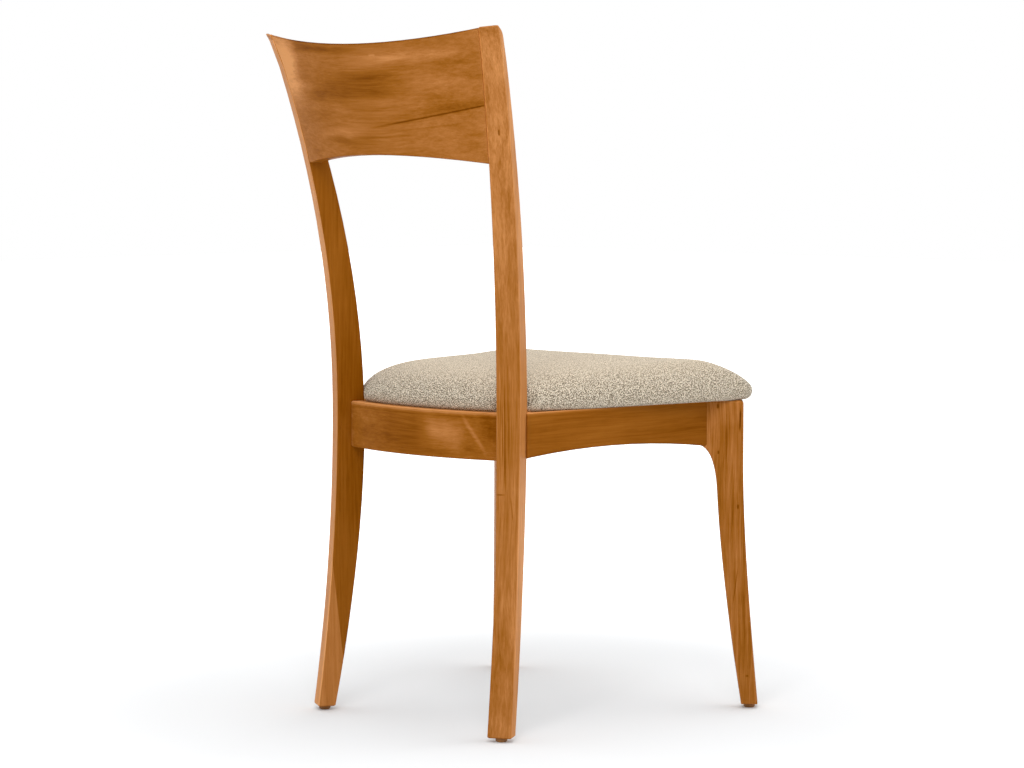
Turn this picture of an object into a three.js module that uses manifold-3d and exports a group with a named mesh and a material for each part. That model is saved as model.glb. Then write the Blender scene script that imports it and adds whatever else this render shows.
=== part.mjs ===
// A klismos dining chair: sabre legs, a curved crest rail, bowed seat rails and an upholstered seat.
// Millimetres, +z up. The sitter faces -y, so the sitter's right is -x. The chair stands on z = 0.
import * as THREE from 'three';
import { mergeVertices } from 'three/addons/utils/BufferGeometryUtils.js';
import Module from 'manifold-3d';

const wasm = await Module();
wasm.setup();

// Sizes shared by the whole frame
const CHAIR_HEIGHT = 942;
const RAIL_TOP = 433.6;
const RAIL_HEIGHT = 64;
const RAIL_THICKNESS = 19;
const RAIL_EDGE_RADIUS = 2.5;
const RAIL_ARCH = 11.6;
const LEG_STOCK = 32.5;
const LEG_EDGE_RADIUS = 3;
const CLEARANCE = 0.3;
const TOOL_OVERRUN = 40;

// Rear legs: each is a board turned in plan, straight at its waist and swept back above and below it.
// Its outer face tapers in towards the top and the foot, and a facet low on its inner face flares inwards.
const REAR_LEG_X = 159.3;
const REAR_LEG_Y = 146.4;
const REAR_LEG_TURN_DEGREES = 120;
const REAR_LEG_DEPTH = 39.8;
const REAR_LEG_OUTER = 17.3;
const REAR_WAIST_FRONT_Z = 400;
const REAR_WAIST_BACK_Z = 430;
const POST_FRONT_SWEEP = 109.3;
const POST_BACK_SWEEP = 89.1;
const HEEL_FRONT_SWEEP = 45.5;
const HEEL_BACK_SWEEP = 30;
const POST_TAPER_Z = 540;
const POST_TAPER = 6;
const HEEL_TAPER_Z = 440;
const HEEL_TAPER = 5.2;
const POST_TIP_HEIGHT = 30;
const POST_TIP_FLARE = 4.5;
const POST_TOP_RADIUS = 10;
const POST_TOP_FALL = 2.2;
const POST_TOP_LEAN = 6;
const FACET_BACK_Z = 195;
const FACET_FRONT_Z = 68;
const FACET_FLARE = 5.4;
const LEG_END_EASE = 1.5;

// Front legs: sawn with a wide head that takes two rails, a knee under it and an outward flare to the foot
const FRONT_LEG_X = 219;
const FRONT_LEG_Y = 228.4;
const FRONT_LEG_TURN_DEGREES = 220;
const SHIN_OUTER = 20;
const SHIN_INNER = 17;
const HEAD_SHOW = 29.8;
const HEAD_TOP_RADIUS = 7;
const KNEE_REACH = 46;
const KNEE_TOP_Z = 371.5;
const KNEE_FOOT_Z = 312;
const FLARE_TOP_Z = 340;
const FRONT_FOOT_OUTER = 41.6;
const FRONT_FOOT_INNER = 18.6;
const KNEE_BEND_SHARES = { across: 0.15, up: 0.01 };
const FLARE_BEND_SHARE = 0.31;
const SHIN_BEND_SHARES = { across: 0.16, up: 0.39 };

// Crest rail: curved in plan, raked with the posts, its top edge dipping and its lower edge arching
const CREST_HEIGHT = 177.7;
const CREST_ARCH = 11.2;
const CREST_DIP = 16.5;
const CREST_BOW = 36;
const CREST_THICKNESS = 19;
const CREST_TOP_THICKNESS = 13;
const CREST_TOP_FALL = 2.5;
const CREST_EDGE_RADIUS = 3;
const CREST_FRONT_RADIUS = 6;
const CREST_SET_IN = 0.6;

// Seat rails
const REAR_RAIL_BOW = 24;
const FRONT_RAIL_BOW = 18;
const SIDE_RAIL_LAP = 12;
const SIDE_RAIL_NOSE = 3;
const SIDE_RAIL_SET_IN = 1;
const SIDE_ARCH_LEAD = 22;

// Dowels
const DOWEL_RADIUS = 4;
const DOWEL_LENGTH = 42;
const DOWEL_CHAMFER = 1;
const OUTER_DOWEL_SHARE = 0.1875;
const INNER_DOWEL_SHARE = 0.383;
const SIDE_DOWEL_INSET = 6.6;
const CREST_DOWEL_EDGE = 38;
const CREST_DOWEL_INSET = 9.5;

// Corner blocks and screws
const BLOCK_DROP = 2;
const BLOCK_HEIGHT = 38;
const FRONT_BLOCK_WIDTH = 28;
const REAR_BLOCK_LEG = 52;
const SCREW_RADIUS = 2.1;
const SCREW_TIP = 4;
const SCREW_HEAD_RADIUS = 4.2;
const SCREW_HEAD_HEIGHT = 2.6;
const SCREW_BITE = 12;
const BLOCK_SCREW_GRIP = 10;
const SEAT_SCREW_BITE = 8;

// Glides
const GLIDE_HEIGHT = 5.5;
const GLIDE_RADIUS = 8;
const GLIDE_ROUND = 1.5;
const GLIDE_PIN_RADIUS = 2.5;
const GLIDE_PIN_LENGTH = 14;

// Upholstered seat: a plywood board, a foam pad, a fabric cover wrapped under the board and a dust cover
const COVER_THICKNESS = 1.3;
const BOARD_THICKNESS = 12;
const SEAT_GIRTH_Z = 448;
const SEAT_CROWN_Z = 494.5;
const SEAT_REAR_INSET = 8;
const SEAT_POST_GAP = 3;
const SEAT_SIDE_OVERHANG = 5;
const SEAT_FRONT_CORNER_X = 248;
const SEAT_FRONT_CORNER_Y = 266.4;
const SEAT_FRONT_BOW = 12;
const SEAT_CORNER_RADIUS = 34;
const SEAT_SMALL_RADIUS = 9;
const SEAT_CENTRE_Y = -53.4;
const BOARD_INSET = 12;
const FOAM_CLEARANCE = 0.5;
const DUST_COVER_THICKNESS = 0.8;

// The seat's section, in pairs: a share of its outline and a share of the rise to its fullest part or crown
const SKIRT_SHARES = [[0.87, 0], [0.97, 0], [0.993, 0.32]];
const CROWN_SHARES = [
  [1, 0],
  [0.99, 0.13],
  [0.962, 0.29],
  [0.92, 0.455],
  [0.84, 0.63],
  [0.7, 0.79],
  [0.5, 0.92],
  [0.25, 0.985],
];
const FOAM_BASE_SHARE = 0.985;
const DUST_COVER_SHARE = 0.85;
const BLOCK_SCREW_SHARE = 0.6;

// The heel's front edge sweeps with this power of the height below the waist
const HEEL_FRONT_POWER = 1.8;

// Numbers of steps, which are counts and not sizes
const CURVE_STEPS = 10;
const LEG_STATIONS = 26;
const POST_TOP_STATIONS = 3;
const ROUND_STEPS = 2;
const DOWEL_SIDES = 12;
const SCREW_SIDES = 10;
const GLIDE_SIDES = 20;
const CREST_STATIONS = 16;
const CREST_LEVELS = 5;
const SEAT_OUTLINE_STEPS = [5, 3, 1, 3, 4, 6, 5];

const UP = new THREE.Vector3(0, 0, 1);
const TOOL_SIZE = 2 * CHAIR_HEIGHT;
const RAIL_BOTTOM = RAIL_TOP - RAIL_HEIGHT;
const CREST_BOTTOM = CHAIR_HEIGHT - CREST_HEIGHT;
const FOOT_Z = GLIDE_HEIGHT + CLEARANCE;

// Solids

function solid(geometry) {
  const bare = geometry.index ? geometry.toNonIndexed() : geometry.clone();
  bare.deleteAttribute('normal');
  bare.deleteAttribute('uv');
  const merged = mergeVertices(bare);
  const vertProperties = new Float32Array(merged.attributes.position.array);
  const triVerts = new Uint32Array(merged.index.array);
  return new wasm.Manifold(new wasm.Mesh({ numProp: 3, vertProperties, triVerts }));
}

function geometryOf(manifold) {
  const mesh = manifold.getMesh();
  const geometry = new THREE.BufferGeometry();
  geometry.setAttribute('position', new THREE.BufferAttribute(mesh.vertProperties, mesh.numProp));
  geometry.setIndex(new THREE.BufferAttribute(mesh.triVerts, 1));
  return geometry;
}

function cut(geometry, tools) {
  let result = solid(geometry);
  for (const tool of tools) result = result.subtract(solid(tool));
  return geometryOf(result);
}

// The mirror image in the plane x = 0, with its faces still pointing out
function mirrored(geometry) {
  const copy = geometry.index ? geometry.toNonIndexed() : geometry.clone();
  copy.deleteAttribute('normal');
  copy.deleteAttribute('uv');
  const position = copy.attributes.position;
  const corner = new THREE.Vector3();
  const other = new THREE.Vector3();
  for (let i = 0; i < position.count; i += 3) {
    corner.fromBufferAttribute(position, i + 1);
    other.fromBufferAttribute(position, i + 2);
    position.setXYZ(i, -position.getX(i), position.getY(i), position.getZ(i));
    position.setXYZ(i + 1, -other.x, other.y, other.z);
    position.setXYZ(i + 2, -corner.x, corner.y, corner.z);
  }
  return mergeVertices(copy);
}

// A skin over rings of equal length, closed by a fan at each end
function loft(rings) {
  const count = rings[0].length;
  const points = rings.flat();
  const triangles = [];
  for (let ring = 0; ring + 1 < rings.length; ring += 1) {
    for (let i = 0; i < count; i += 1) {
      const next = (i + 1) % count;
      const [a, b] = [ring * count + i, ring * count + next];
      const [c, d] = [a + count, b + count];
      triangles.push(a, b, d, a, d, c);
    }
  }
  const closeEnd = (ring, flip) => {
    const middle = points.length;
    const sum = rings[ring].reduce((total, point) => total.add(point), new THREE.Vector3());
    points.push(sum.divideScalar(count));
    for (let i = 0; i < count; i += 1) {
      const [a, b] = [ring * count + i, ring * count + (i + 1) % count];
      triangles.push(...(flip ? [b, a, middle] : [a, b, middle]));
    }
  };
  closeEnd(0, true);
  closeEnd(rings.length - 1, false);
  let volume = 0;
  for (let i = 0; i < triangles.length; i += 3) {
    const [a, b, c] = triangles.slice(i, i + 3).map((corner) => points[corner]);
    volume += a.dot(b.clone().cross(c));
  }
  const geometry = new THREE.BufferGeometry().setFromPoints(points);
  geometry.setIndex(volume < 0 ? triangles.reverse() : triangles);
  return geometry;
}

// A box that fills all space on the far side of a plane, as a cutting tool
function beyond(point, normal) {
  const away = normal.clone().normalize();
  const turn = new THREE.Quaternion().setFromUnitVectors(UP, away);
  const centre = point.clone().addScaledVector(away, TOOL_SIZE / 2);
  return new THREE.BoxGeometry(TOOL_SIZE, TOOL_SIZE, TOOL_SIZE).applyQuaternion(turn)
    .translate(centre.x, centre.y, centre.z);
}

// A turned piece: its profile runs along +y from the origin and is stood along a direction from a point
function turned(profile, sides, start, direction) {
  const turn = new THREE.Quaternion().setFromUnitVectors(new THREE.Vector3(0, 1, 0), direction);
  return new THREE.LatheGeometry(profile.map(([radius, y]) => new THREE.Vector2(radius, y)), sides)
    .applyQuaternion(turn).translate(start.x, start.y, start.z);
}

// Plan geometry

const level = (point, z) => new THREE.Vector3(point.x, point.y, z);
const flat = (vector) => new THREE.Vector3(vector.x, vector.y, 0);
const plan = (x, y) => new THREE.Vector2(x, y);
const ahead = (point, direction, distance) => point.clone().addScaledVector(direction, distance);
const cross = (a, b) => a.x * b.y - a.y * b.x;

// Where the line through p along d meets the line through q along e
function meet(p, d, q, e) {
  return ahead(p, d, cross(q.clone().sub(p), e) / cross(d, e));
}

// A board that stands on edge: run goes along its broad faces, face points square to them
function standingBoard(x, y, degrees) {
  const turn = THREE.MathUtils.degToRad(degrees);
  const middle = plan(x, y);
  const run = plan(Math.cos(turn), Math.sin(turn));
  const face = plan(Math.sin(turn), -Math.cos(turn));
  const place = new THREE.Matrix4().makeBasis(flat(run), UP, flat(face)).setPosition(x, y, 0);
  const at = (along, across) => ahead(ahead(middle, run, along), face, across);
  return { run, face, place, at };
}

// An outline sawn from a board, its edges rounded, standing in that board's place
function sawn(outline, thickness, radius, place) {
  const geometry = new THREE.ExtrudeGeometry(outline, {
    depth: thickness - 2 * radius,
    bevelThickness: radius,
    bevelSize: radius,
    bevelOffset: -radius,
    bevelSegments: ROUND_STEPS,
    curveSegments: CURVE_STEPS,
  });
  return geometry.translate(0, 0, radius - thickness / 2).applyMatrix4(place);
}

// A circle in plan through both ends of a chord square to the chair, standing out by a bow at its middle
function bowedArc(halfChord, endY, bow) {
  const radius = (halfChord ** 2 + bow ** 2) / (2 * Math.abs(bow));
  const side = Math.sign(bow);
  const centre = plan(0, endY + bow - side * radius);
  const yAt = (x, inset) => centre.y + side * Math.sqrt((radius - inset) ** 2 - x ** 2);
  return { radius, side, centre, yAt };
}

// A closed outline through corners in order, each rounded and followed by an edge in a number of steps
function rounded(corners) {
  const toward = (from, to) => ahead(from.at, to.at.clone().sub(from.at).normalize(), from.radius);
  return corners.flatMap((corner, i) => {
    const before = corners.at(i - 1);
    const after = corners[(i + 1) % corners.length];
    const leave = toward(corner, after);
    const bend = new THREE.QuadraticBezierCurve(toward(corner, before), corner.at, leave);
    const edge = new THREE.LineCurve(leave, toward(after, corner));
    return [...bend.getPoints(ROUND_STEPS), ...edge.getPoints(corner.steps).slice(1, -1)];
  });
}

const rearBoard = standingBoard(-REAR_LEG_X, REAR_LEG_Y, REAR_LEG_TURN_DEGREES);
const frontBoard = standingBoard(-FRONT_LEG_X, -FRONT_LEG_Y, FRONT_LEG_TURN_DEGREES);

// Rear legs

const HALF_DEPTH = REAR_LEG_DEPTH / 2;
const HALF_STOCK = LEG_STOCK / 2;

// How far a height lies above or below a level, as a share of the leg on that side of it
const aboveShare = (z, from) => Math.max(0, (z - from) / (CHAIR_HEIGHT - from));
const belowShare = (z, from) => Math.max(0, (from - z) / from);

// The reach of each face of a rear leg from the middle of its board
function backEdge(z) {
  const post = POST_BACK_SWEEP * aboveShare(z, REAR_WAIST_BACK_Z) ** 2;
  const tip = POST_TIP_FLARE * aboveShare(z, CHAIR_HEIGHT - POST_TIP_HEIGHT) ** 2;
  const heel = HEEL_BACK_SWEEP * belowShare(z, REAR_WAIST_BACK_Z) ** 2;
  return HALF_DEPTH + post + tip + heel;
}

function frontEdge(z) {
  const post = POST_FRONT_SWEEP * aboveShare(z, REAR_WAIST_FRONT_Z) ** 2;
  const heel = HEEL_FRONT_SWEEP * belowShare(z, REAR_WAIST_FRONT_Z) ** HEEL_FRONT_POWER;
  const intoRound = Math.max(0, z - CHAIR_HEIGHT + POST_TOP_RADIUS);
  const round = POST_TOP_RADIUS - Math.sqrt(POST_TOP_RADIUS ** 2 - intoRound ** 2);
  return post + heel + round - HALF_DEPTH;
}

function outerFace(z) {
  const heel = HEEL_TAPER * belowShare(z, HEEL_TAPER_Z);
  const post = POST_TAPER * aboveShare(z, POST_TAPER_Z) ** 2;
  return REAR_LEG_OUTER - heel - post;
}

// The facet is a plane. Its upper edge crosses the inner face, rising towards the back.
const facetRise = (FACET_BACK_Z - FACET_FRONT_Z) / REAR_LEG_DEPTH;
const facetTop = (along) => FACET_FRONT_Z + facetRise * (along + HALF_DEPTH);
const facetSlope = FACET_FLARE / (facetTop(backEdge(FOOT_Z)) - FOOT_Z);
const innerFace = (along, z) => HALF_STOCK + facetSlope * Math.max(0, facetTop(along) - z);

// The post's top falls to its inner face, where the crest rail's top edge carries on, and to its front
function topFall(along, across, z) {
  const land = LEG_END_EASE + LEG_EDGE_RADIUS;
  const inward = Math.max(0, across + outerFace(z) - land) / (HALF_STOCK + outerFace(z) - land);
  const forward = Math.max(0, backEdge(z) - land - along) / (backEdge(z) - frontEdge(z) - land);
  const sunk = POST_TOP_FALL * inward + POST_TOP_LEAN * forward;
  return sunk * aboveShare(z, CHAIR_HEIGHT - POST_TIP_HEIGHT);
}

// A section of a rear leg: rounded corners, and a point where the facet's edge crosses the inner face
function rearLegSection(z, inset) {
  const radius = LEG_EDGE_RADIUS;
  const back = backEdge(z) - inset;
  const front = frontEdge(z) + inset;
  const outer = inset - outerFace(z);
  const inner = (along) => innerFace(along, z) - inset;
  const creaseAt = (z - FACET_FRONT_Z) / facetRise - HALF_DEPTH;
  const crease = THREE.MathUtils.clamp(creaseAt, front + 2 * radius, back - 2 * radius);
  const corner = (along, across) => ({ at: plan(along, across), radius, steps: 1 });
  const section = [
    plan(crease, inner(crease)),
    ...rounded([
      corner(back, inner(back)),
      corner(back, outer),
      corner(front, outer),
      corner(front, inner(front)),
    ]),
  ];
  return section.map((point) => level(rearBoard.at(point.x, point.y), z - topFall(point.x, point.y, z)));
}

function rearLeg() {
  const low = FOOT_Z + LEG_END_EASE;
  const round = CHAIR_HEIGHT - POST_TOP_RADIUS;
  const high = CHAIR_HEIGHT - LEG_END_EASE;
  const rings = [rearLegSection(FOOT_Z, LEG_END_EASE)];
  for (let i = 0; i <= LEG_STATIONS; i += 1) {
    rings.push(rearLegSection(THREE.MathUtils.lerp(low, round, i / LEG_STATIONS), 0));
  }
  for (let i = 1; i <= POST_TOP_STATIONS; i += 1) {
    rings.push(rearLegSection(THREE.MathUtils.lerp(round, high, i / POST_TOP_STATIONS), 0));
  }
  rings.push(rearLegSection(CHAIR_HEIGHT, LEG_END_EASE));
  return loft(rings);
}

// Where the rails meet the legs in plan

const rearRailEnd = rearBoard.at(0, HALF_STOCK);
const sideRailStart = rearBoard.at(SIDE_RAIL_LAP - HALF_DEPTH, -REAR_LEG_OUTER);
const sideRailEnd = frontBoard.at(-HEAD_SHOW, HALF_STOCK - SIDE_RAIL_SET_IN);
const frontRailEnd = frontBoard.at(-HEAD_SHOW, -HALF_STOCK);
const sideRun = sideRailEnd.clone().sub(sideRailStart).normalize();
const sideInward = plan(-sideRun.y, sideRun.x);
const frontRun = plan(-1, 0);

// Front legs

// The head reaches in behind both rails, as far as their thickness covers it
const HEAD_REACH = HEAD_SHOW + RAIL_THICKNESS
  / Math.min(Math.abs(cross(sideRun, frontBoard.run)), Math.abs(cross(frontRun, frontBoard.run)));

function frontLegOutline() {
  const kneeBend = [
    THREE.MathUtils.lerp(-SHIN_INNER, -KNEE_REACH, KNEE_BEND_SHARES.across),
    THREE.MathUtils.lerp(KNEE_TOP_Z, KNEE_FOOT_Z, KNEE_BEND_SHARES.up),
  ];
  const shinBend = [
    THREE.MathUtils.lerp(-SHIN_INNER, FRONT_FOOT_INNER, SHIN_BEND_SHARES.across),
    THREE.MathUtils.lerp(KNEE_FOOT_Z, FOOT_Z, SHIN_BEND_SHARES.up),
  ];
  const shape = new THREE.Shape();
  shape.moveTo(FRONT_FOOT_INNER, FOOT_Z);
  shape.lineTo(FRONT_FOOT_OUTER, FOOT_Z);
  shape.quadraticCurveTo(SHIN_OUTER, THREE.MathUtils.lerp(FLARE_TOP_Z, FOOT_Z, FLARE_BEND_SHARE),
    SHIN_OUTER, FLARE_TOP_Z);
  shape.lineTo(SHIN_OUTER, RAIL_TOP - HEAD_TOP_RADIUS);
  shape.quadraticCurveTo(SHIN_OUTER, RAIL_TOP, SHIN_OUTER - HEAD_TOP_RADIUS, RAIL_TOP);
  shape.lineTo(-HEAD_REACH, RAIL_TOP);
  shape.lineTo(-HEAD_REACH, KNEE_TOP_Z);
  shape.lineTo(-KNEE_REACH, KNEE_TOP_Z);
  shape.quadraticCurveTo(...kneeBend, -SHIN_INNER, KNEE_FOOT_Z);
  shape.quadraticCurveTo(...shinBend, FRONT_FOOT_INNER, FOOT_Z);
  return shape;
}

function frontLeg() {
  return sawn(frontLegOutline(), LEG_STOCK, LEG_EDGE_RADIUS, frontBoard.place);
}

// Crest rail

// The inner edge of a post's back face, which the crest rail's back face runs up to
function postInnerEdge(z) {
  return rearBoard.at(backEdge(z) - CREST_SET_IN, HALF_STOCK);
}

function crestBack(x, z) {
  const edge = postInnerEdge(z);
  return new THREE.Vector3(x, edge.y + CREST_BOW * (1 - (x / edge.x) ** 2), z);
}

// The back face moved level towards the sitter, square to its curve in plan
function crestPoint(x, z, depth) {
  const step = CREST_EDGE_RADIUS;
  const across = crestBack(x + step, z).sub(crestBack(x - step, z));
  const outward = UP.clone().cross(across).normalize();
  return crestBack(x, z).addScaledVector(outward, -depth);
}

// The crest's section is thinner along its top edge, which falls towards the sitter
function crestSection(x) {
  const shareOut = (x / postInnerEdge(CHAIR_HEIGHT).x) ** 2;
  const top = CHAIR_HEIGHT - POST_TOP_FALL - CREST_DIP * (1 - shareOut);
  const bottom = CREST_BOTTOM + CREST_ARCH * (1 - (x / postInnerEdge(CREST_BOTTOM).x) ** 2);
  const frontTop = plan(CREST_TOP_THICKNESS, top - CREST_TOP_FALL);
  const corners = rounded([
    { at: plan(0, bottom), radius: CREST_EDGE_RADIUS, steps: CREST_LEVELS },
    { at: plan(0, top), radius: CREST_EDGE_RADIUS, steps: 1 },
    { at: frontTop, radius: CREST_FRONT_RADIUS, steps: CREST_LEVELS },
    { at: plan(CREST_THICKNESS, bottom), radius: CREST_EDGE_RADIUS, steps: 1 },
  ]);
  return corners.map((corner) => crestPoint(x, corner.y, corner.x));
}

function crestRail() {
  const reach = Math.abs(postInnerEdge(CHAIR_HEIGHT).x) + CREST_THICKNESS / 2;
  const rings = [];
  for (let i = 0; i <= CREST_STATIONS; i += 1) {
    rings.push(crestSection(THREE.MathUtils.lerp(reach, -reach, i / CREST_STATIONS)));
  }
  return loft(rings);
}

// Everything past the inner face of the right post, with the clearance that touching pieces keep
function pastRightPost() {
  const point = level(rearBoard.at(0, HALF_STOCK + CLEARANCE), 0);
  return beyond(point, flat(rearBoard.face).negate());
}

// Seat rails

const rearArc = bowedArc(Math.abs(rearRailEnd.x), rearRailEnd.y, REAR_RAIL_BOW);
const frontArc = bowedArc(Math.abs(frontRailEnd.x), frontRailEnd.y, -FRONT_RAIL_BOW);

// A rail bowed in plan, longer than it needs to be before its ends are cut
function bowedRail(arc, halfChord) {
  const half = Math.asin(Math.min(1, (halfChord + TOOL_OVERRUN) / arc.radius));
  const middle = arc.side * Math.PI / 2;
  const shape = new THREE.Shape();
  shape.absarc(arc.centre.x, arc.centre.y, arc.radius, middle - half, middle + half, false);
  shape.absarc(arc.centre.x, arc.centre.y, arc.radius - RAIL_THICKNESS, middle + half, middle - half, true);
  shape.closePath();
  const place = new THREE.Matrix4().setPosition(0, 0, RAIL_BOTTOM + RAIL_HEIGHT / 2);
  return sawn(shape, RAIL_HEIGHT, RAIL_EDGE_RADIUS, place);
}

// The tool that arches the underside of a rail of a given length, centred on a point and laid along a direction
function archTool(centre, direction, length) {
  const shape = new THREE.Shape();
  shape.moveTo(-length / 2, -RAIL_ARCH);
  shape.lineTo(length / 2, -RAIL_ARCH);
  shape.lineTo(length / 2, 0);
  shape.quadraticCurveTo(0, 2 * RAIL_ARCH, -length / 2, 0);
  const width = 2 * TOOL_OVERRUN;
  const geometry = new THREE.ExtrudeGeometry(shape, {
    depth: width,
    bevelEnabled: false,
    curveSegments: 2 * CURVE_STEPS,
  });
  const square = new THREE.Vector3().crossVectors(flat(direction), UP);
  const place = new THREE.Matrix4().makeBasis(flat(direction), UP, square);
  return geometry.translate(0, 0, -width / 2).applyMatrix4(place)
    .translate(centre.x, centre.y, RAIL_BOTTOM - CLEARANCE);
}

function sideRail() {
  const length = sideRailEnd.distanceTo(sideRailStart);
  const from = -TOOL_OVERRUN;
  const to = length + TOOL_OVERRUN;
  const shape = new THREE.Shape();
  shape.moveTo(from, RAIL_BOTTOM);
  shape.lineTo(-SIDE_ARCH_LEAD, RAIL_BOTTOM);
  shape.quadraticCurveTo((length - SIDE_ARCH_LEAD) / 2, RAIL_BOTTOM + 2 * RAIL_ARCH, length, RAIL_BOTTOM);
  shape.lineTo(to, RAIL_BOTTOM);
  shape.lineTo(to, RAIL_TOP);
  shape.lineTo(from, RAIL_TOP);
  shape.closePath();
  const square = new THREE.Vector3().crossVectors(flat(sideRun), UP);
  const middle = ahead(sideRailStart, sideInward, RAIL_THICKNESS / 2);
  const place = new THREE.Matrix4().makeBasis(flat(sideRun), UP, square).setPosition(middle.x, middle.y, 0);
  return sawn(shape, RAIL_THICKNESS, RAIL_EDGE_RADIUS, place);
}

// The space that the right post needs where the side rail is coped round its corner
function postSpace() {
  const width = HALF_STOCK + REAR_LEG_OUTER + 2 * CLEARANCE;
  const depth = REAR_LEG_DEPTH + 2 * CLEARANCE + TOOL_OVERRUN;
  return new THREE.BoxGeometry(depth, TOOL_SIZE, width)
    .translate(TOOL_OVERRUN / 2, 0, (HALF_STOCK - REAR_LEG_OUTER) / 2).applyMatrix4(rearBoard.place);
}

function sideRailTools() {
  const nose = ahead(sideRailStart, sideRun, SIDE_RAIL_NOSE);
  const head = frontBoard.at(0, HALF_STOCK + CLEARANCE);
  return [
    beyond(level(nose, 0), flat(sideRun).negate()),
    postSpace(),
    beyond(level(head, 0), flat(frontBoard.face).negate()),
  ];
}

function pastRightHead() {
  const point = level(frontBoard.at(0, -HALF_STOCK - CLEARANCE), 0);
  return beyond(point, flat(frontBoard.face));
}

// Dowels, screws and glides

// A dowel centred on a joint, and the hole that it sits in
function dowel(centre, direction) {
  const half = DOWEL_LENGTH / 2;
  const narrow = DOWEL_RADIUS - DOWEL_CHAMFER;
  const profile = [
    [0, -half],
    [narrow, -half],
    [DOWEL_RADIUS, DOWEL_CHAMFER - half],
    [DOWEL_RADIUS, half - DOWEL_CHAMFER],
    [narrow, half],
    [0, half],
  ];
  const wide = DOWEL_RADIUS + CLEARANCE;
  const long = half + CLEARANCE;
  const hole = [[0, -long], [wide, -long], [wide, long], [0, long]];
  return {
    geometry: turned(profile, DOWEL_SIDES, centre, direction),
    bore: turned(hole, DOWEL_SIDES, centre, direction),
  };
}

// A round-head wood screw whose head bears at a point, and the hole and head pocket that it needs
function screw(bearing, direction, length) {
  const headTop = -SCREW_HEAD_HEIGHT;
  const profile = [
    [0, headTop],
    [SCREW_HEAD_RADIUS / 2, headTop],
    [SCREW_HEAD_RADIUS, headTop / 2],
    [SCREW_HEAD_RADIUS, 0],
    [SCREW_RADIUS, 0],
    [SCREW_RADIUS, length - SCREW_TIP],
    [0, length],
  ];
  const wide = SCREW_HEAD_RADIUS + CLEARANCE;
  const narrow = SCREW_RADIUS + CLEARANCE;
  const pocket = [
    [0, -TOOL_OVERRUN],
    [wide, -TOOL_OVERRUN],
    [wide, 0],
    [narrow, 0],
    [narrow, length + CLEARANCE],
    [0, length + CLEARANCE],
  ];
  return {
    geometry: turned(profile, SCREW_SIDES, ahead(bearing, direction, -CLEARANCE), direction),
    bore: turned(pocket, SCREW_SIDES, bearing, direction),
  };
}

// A push-in glide under a foot, and the hole for its pin
function glide(foot) {
  const profile = [
    [0, 0],
    [GLIDE_RADIUS - GLIDE_ROUND, 0],
    [GLIDE_RADIUS, GLIDE_ROUND],
    [GLIDE_RADIUS, GLIDE_HEIGHT],
    [GLIDE_PIN_RADIUS, GLIDE_HEIGHT],
    [GLIDE_PIN_RADIUS, GLIDE_HEIGHT + GLIDE_PIN_LENGTH],
    [0, GLIDE_HEIGHT + GLIDE_PIN_LENGTH],
  ];
  const wide = GLIDE_PIN_RADIUS + CLEARANCE;
  const top = GLIDE_HEIGHT + GLIDE_PIN_LENGTH + CLEARANCE;
  const hole = [[0, 0], [wide, 0], [wide, top], [0, top]];
  return {
    geometry: turned(profile, GLIDE_SIDES, level(foot, 0), UP),
    bore: turned(hole, GLIDE_SIDES, level(foot, 0), UP),
  };
}

// The upper and the lower level, each a share of the rail's height in from its edges. Dowels of rails that
// meet in a leg are set at different levels, so that they pass over and under each other.
const railLevels = (share) => [RAIL_TOP - share * RAIL_HEIGHT, RAIL_BOTTOM + share * RAIL_HEIGHT];
const outerLevels = railLevels(OUTER_DOWEL_SHARE);
const innerLevels = railLevels(INNER_DOWEL_SHARE);
const crestLevels = [
  CHAIR_HEIGHT - POST_TOP_FALL - CREST_DIP - CREST_DOWEL_EDGE,
  CREST_BOTTOM + CREST_ARCH + CREST_DOWEL_EDGE,
];

function rearRailDowels() {
  const joint = rearBoard.at(-RAIL_THICKNESS / 2, HALF_STOCK);
  return innerLevels.map((z) => dowel(level(joint, z), flat(rearBoard.face)));
}

// The side rail's dowels run along it, nearer its inner face at the post, where it laps the post's corner
function sideRearDowels() {
  const line = ahead(sideRailStart, sideInward, RAIL_THICKNESS - SIDE_DOWEL_INSET);
  const joint = meet(line, sideRun, rearBoard.at(-HALF_DEPTH, 0), rearBoard.face);
  return outerLevels.map((z) => dowel(level(joint, z), flat(sideRun)));
}

function sideFrontDowels() {
  const line = ahead(sideRailStart, sideInward, RAIL_THICKNESS / 2);
  const joint = meet(line, sideRun, frontBoard.at(0, HALF_STOCK), frontBoard.run);
  return outerLevels.map((z) => dowel(level(joint, z), flat(sideRun)));
}

function frontRailDowels() {
  const y = frontRailEnd.y + RAIL_THICKNESS / 2;
  const joint = meet(plan(0, y), frontRun, frontBoard.at(0, -HALF_STOCK), frontBoard.run);
  return innerLevels.map((z) => dowel(level(joint, z), flat(frontRun)));
}

function crestDowels() {
  return crestLevels.map((z) => {
    const joint = rearBoard.at(backEdge(z) - CREST_DOWEL_INSET, HALF_STOCK);
    return dowel(level(joint, z), flat(rearBoard.face));
  });
}

// Corner blocks

const BLOCK_TOP = RAIL_TOP - BLOCK_DROP;
const BLOCK_BOTTOM = BLOCK_TOP - BLOCK_HEIGHT;
const BLOCK_SCREW_Z = (BLOCK_TOP + BLOCK_BOTTOM) / 2;

function prism(points, bottom, top) {
  const shape = new THREE.Shape(points);
  return new THREE.ExtrudeGeometry(shape, { depth: top - bottom, bevelEnabled: false })
    .translate(0, 0, bottom);
}

// The inner face of the side rail, as a line the blocks are set against
const sideInner = ahead(sideRailStart, sideInward, RAIL_THICKNESS + CLEARANCE);

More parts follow.
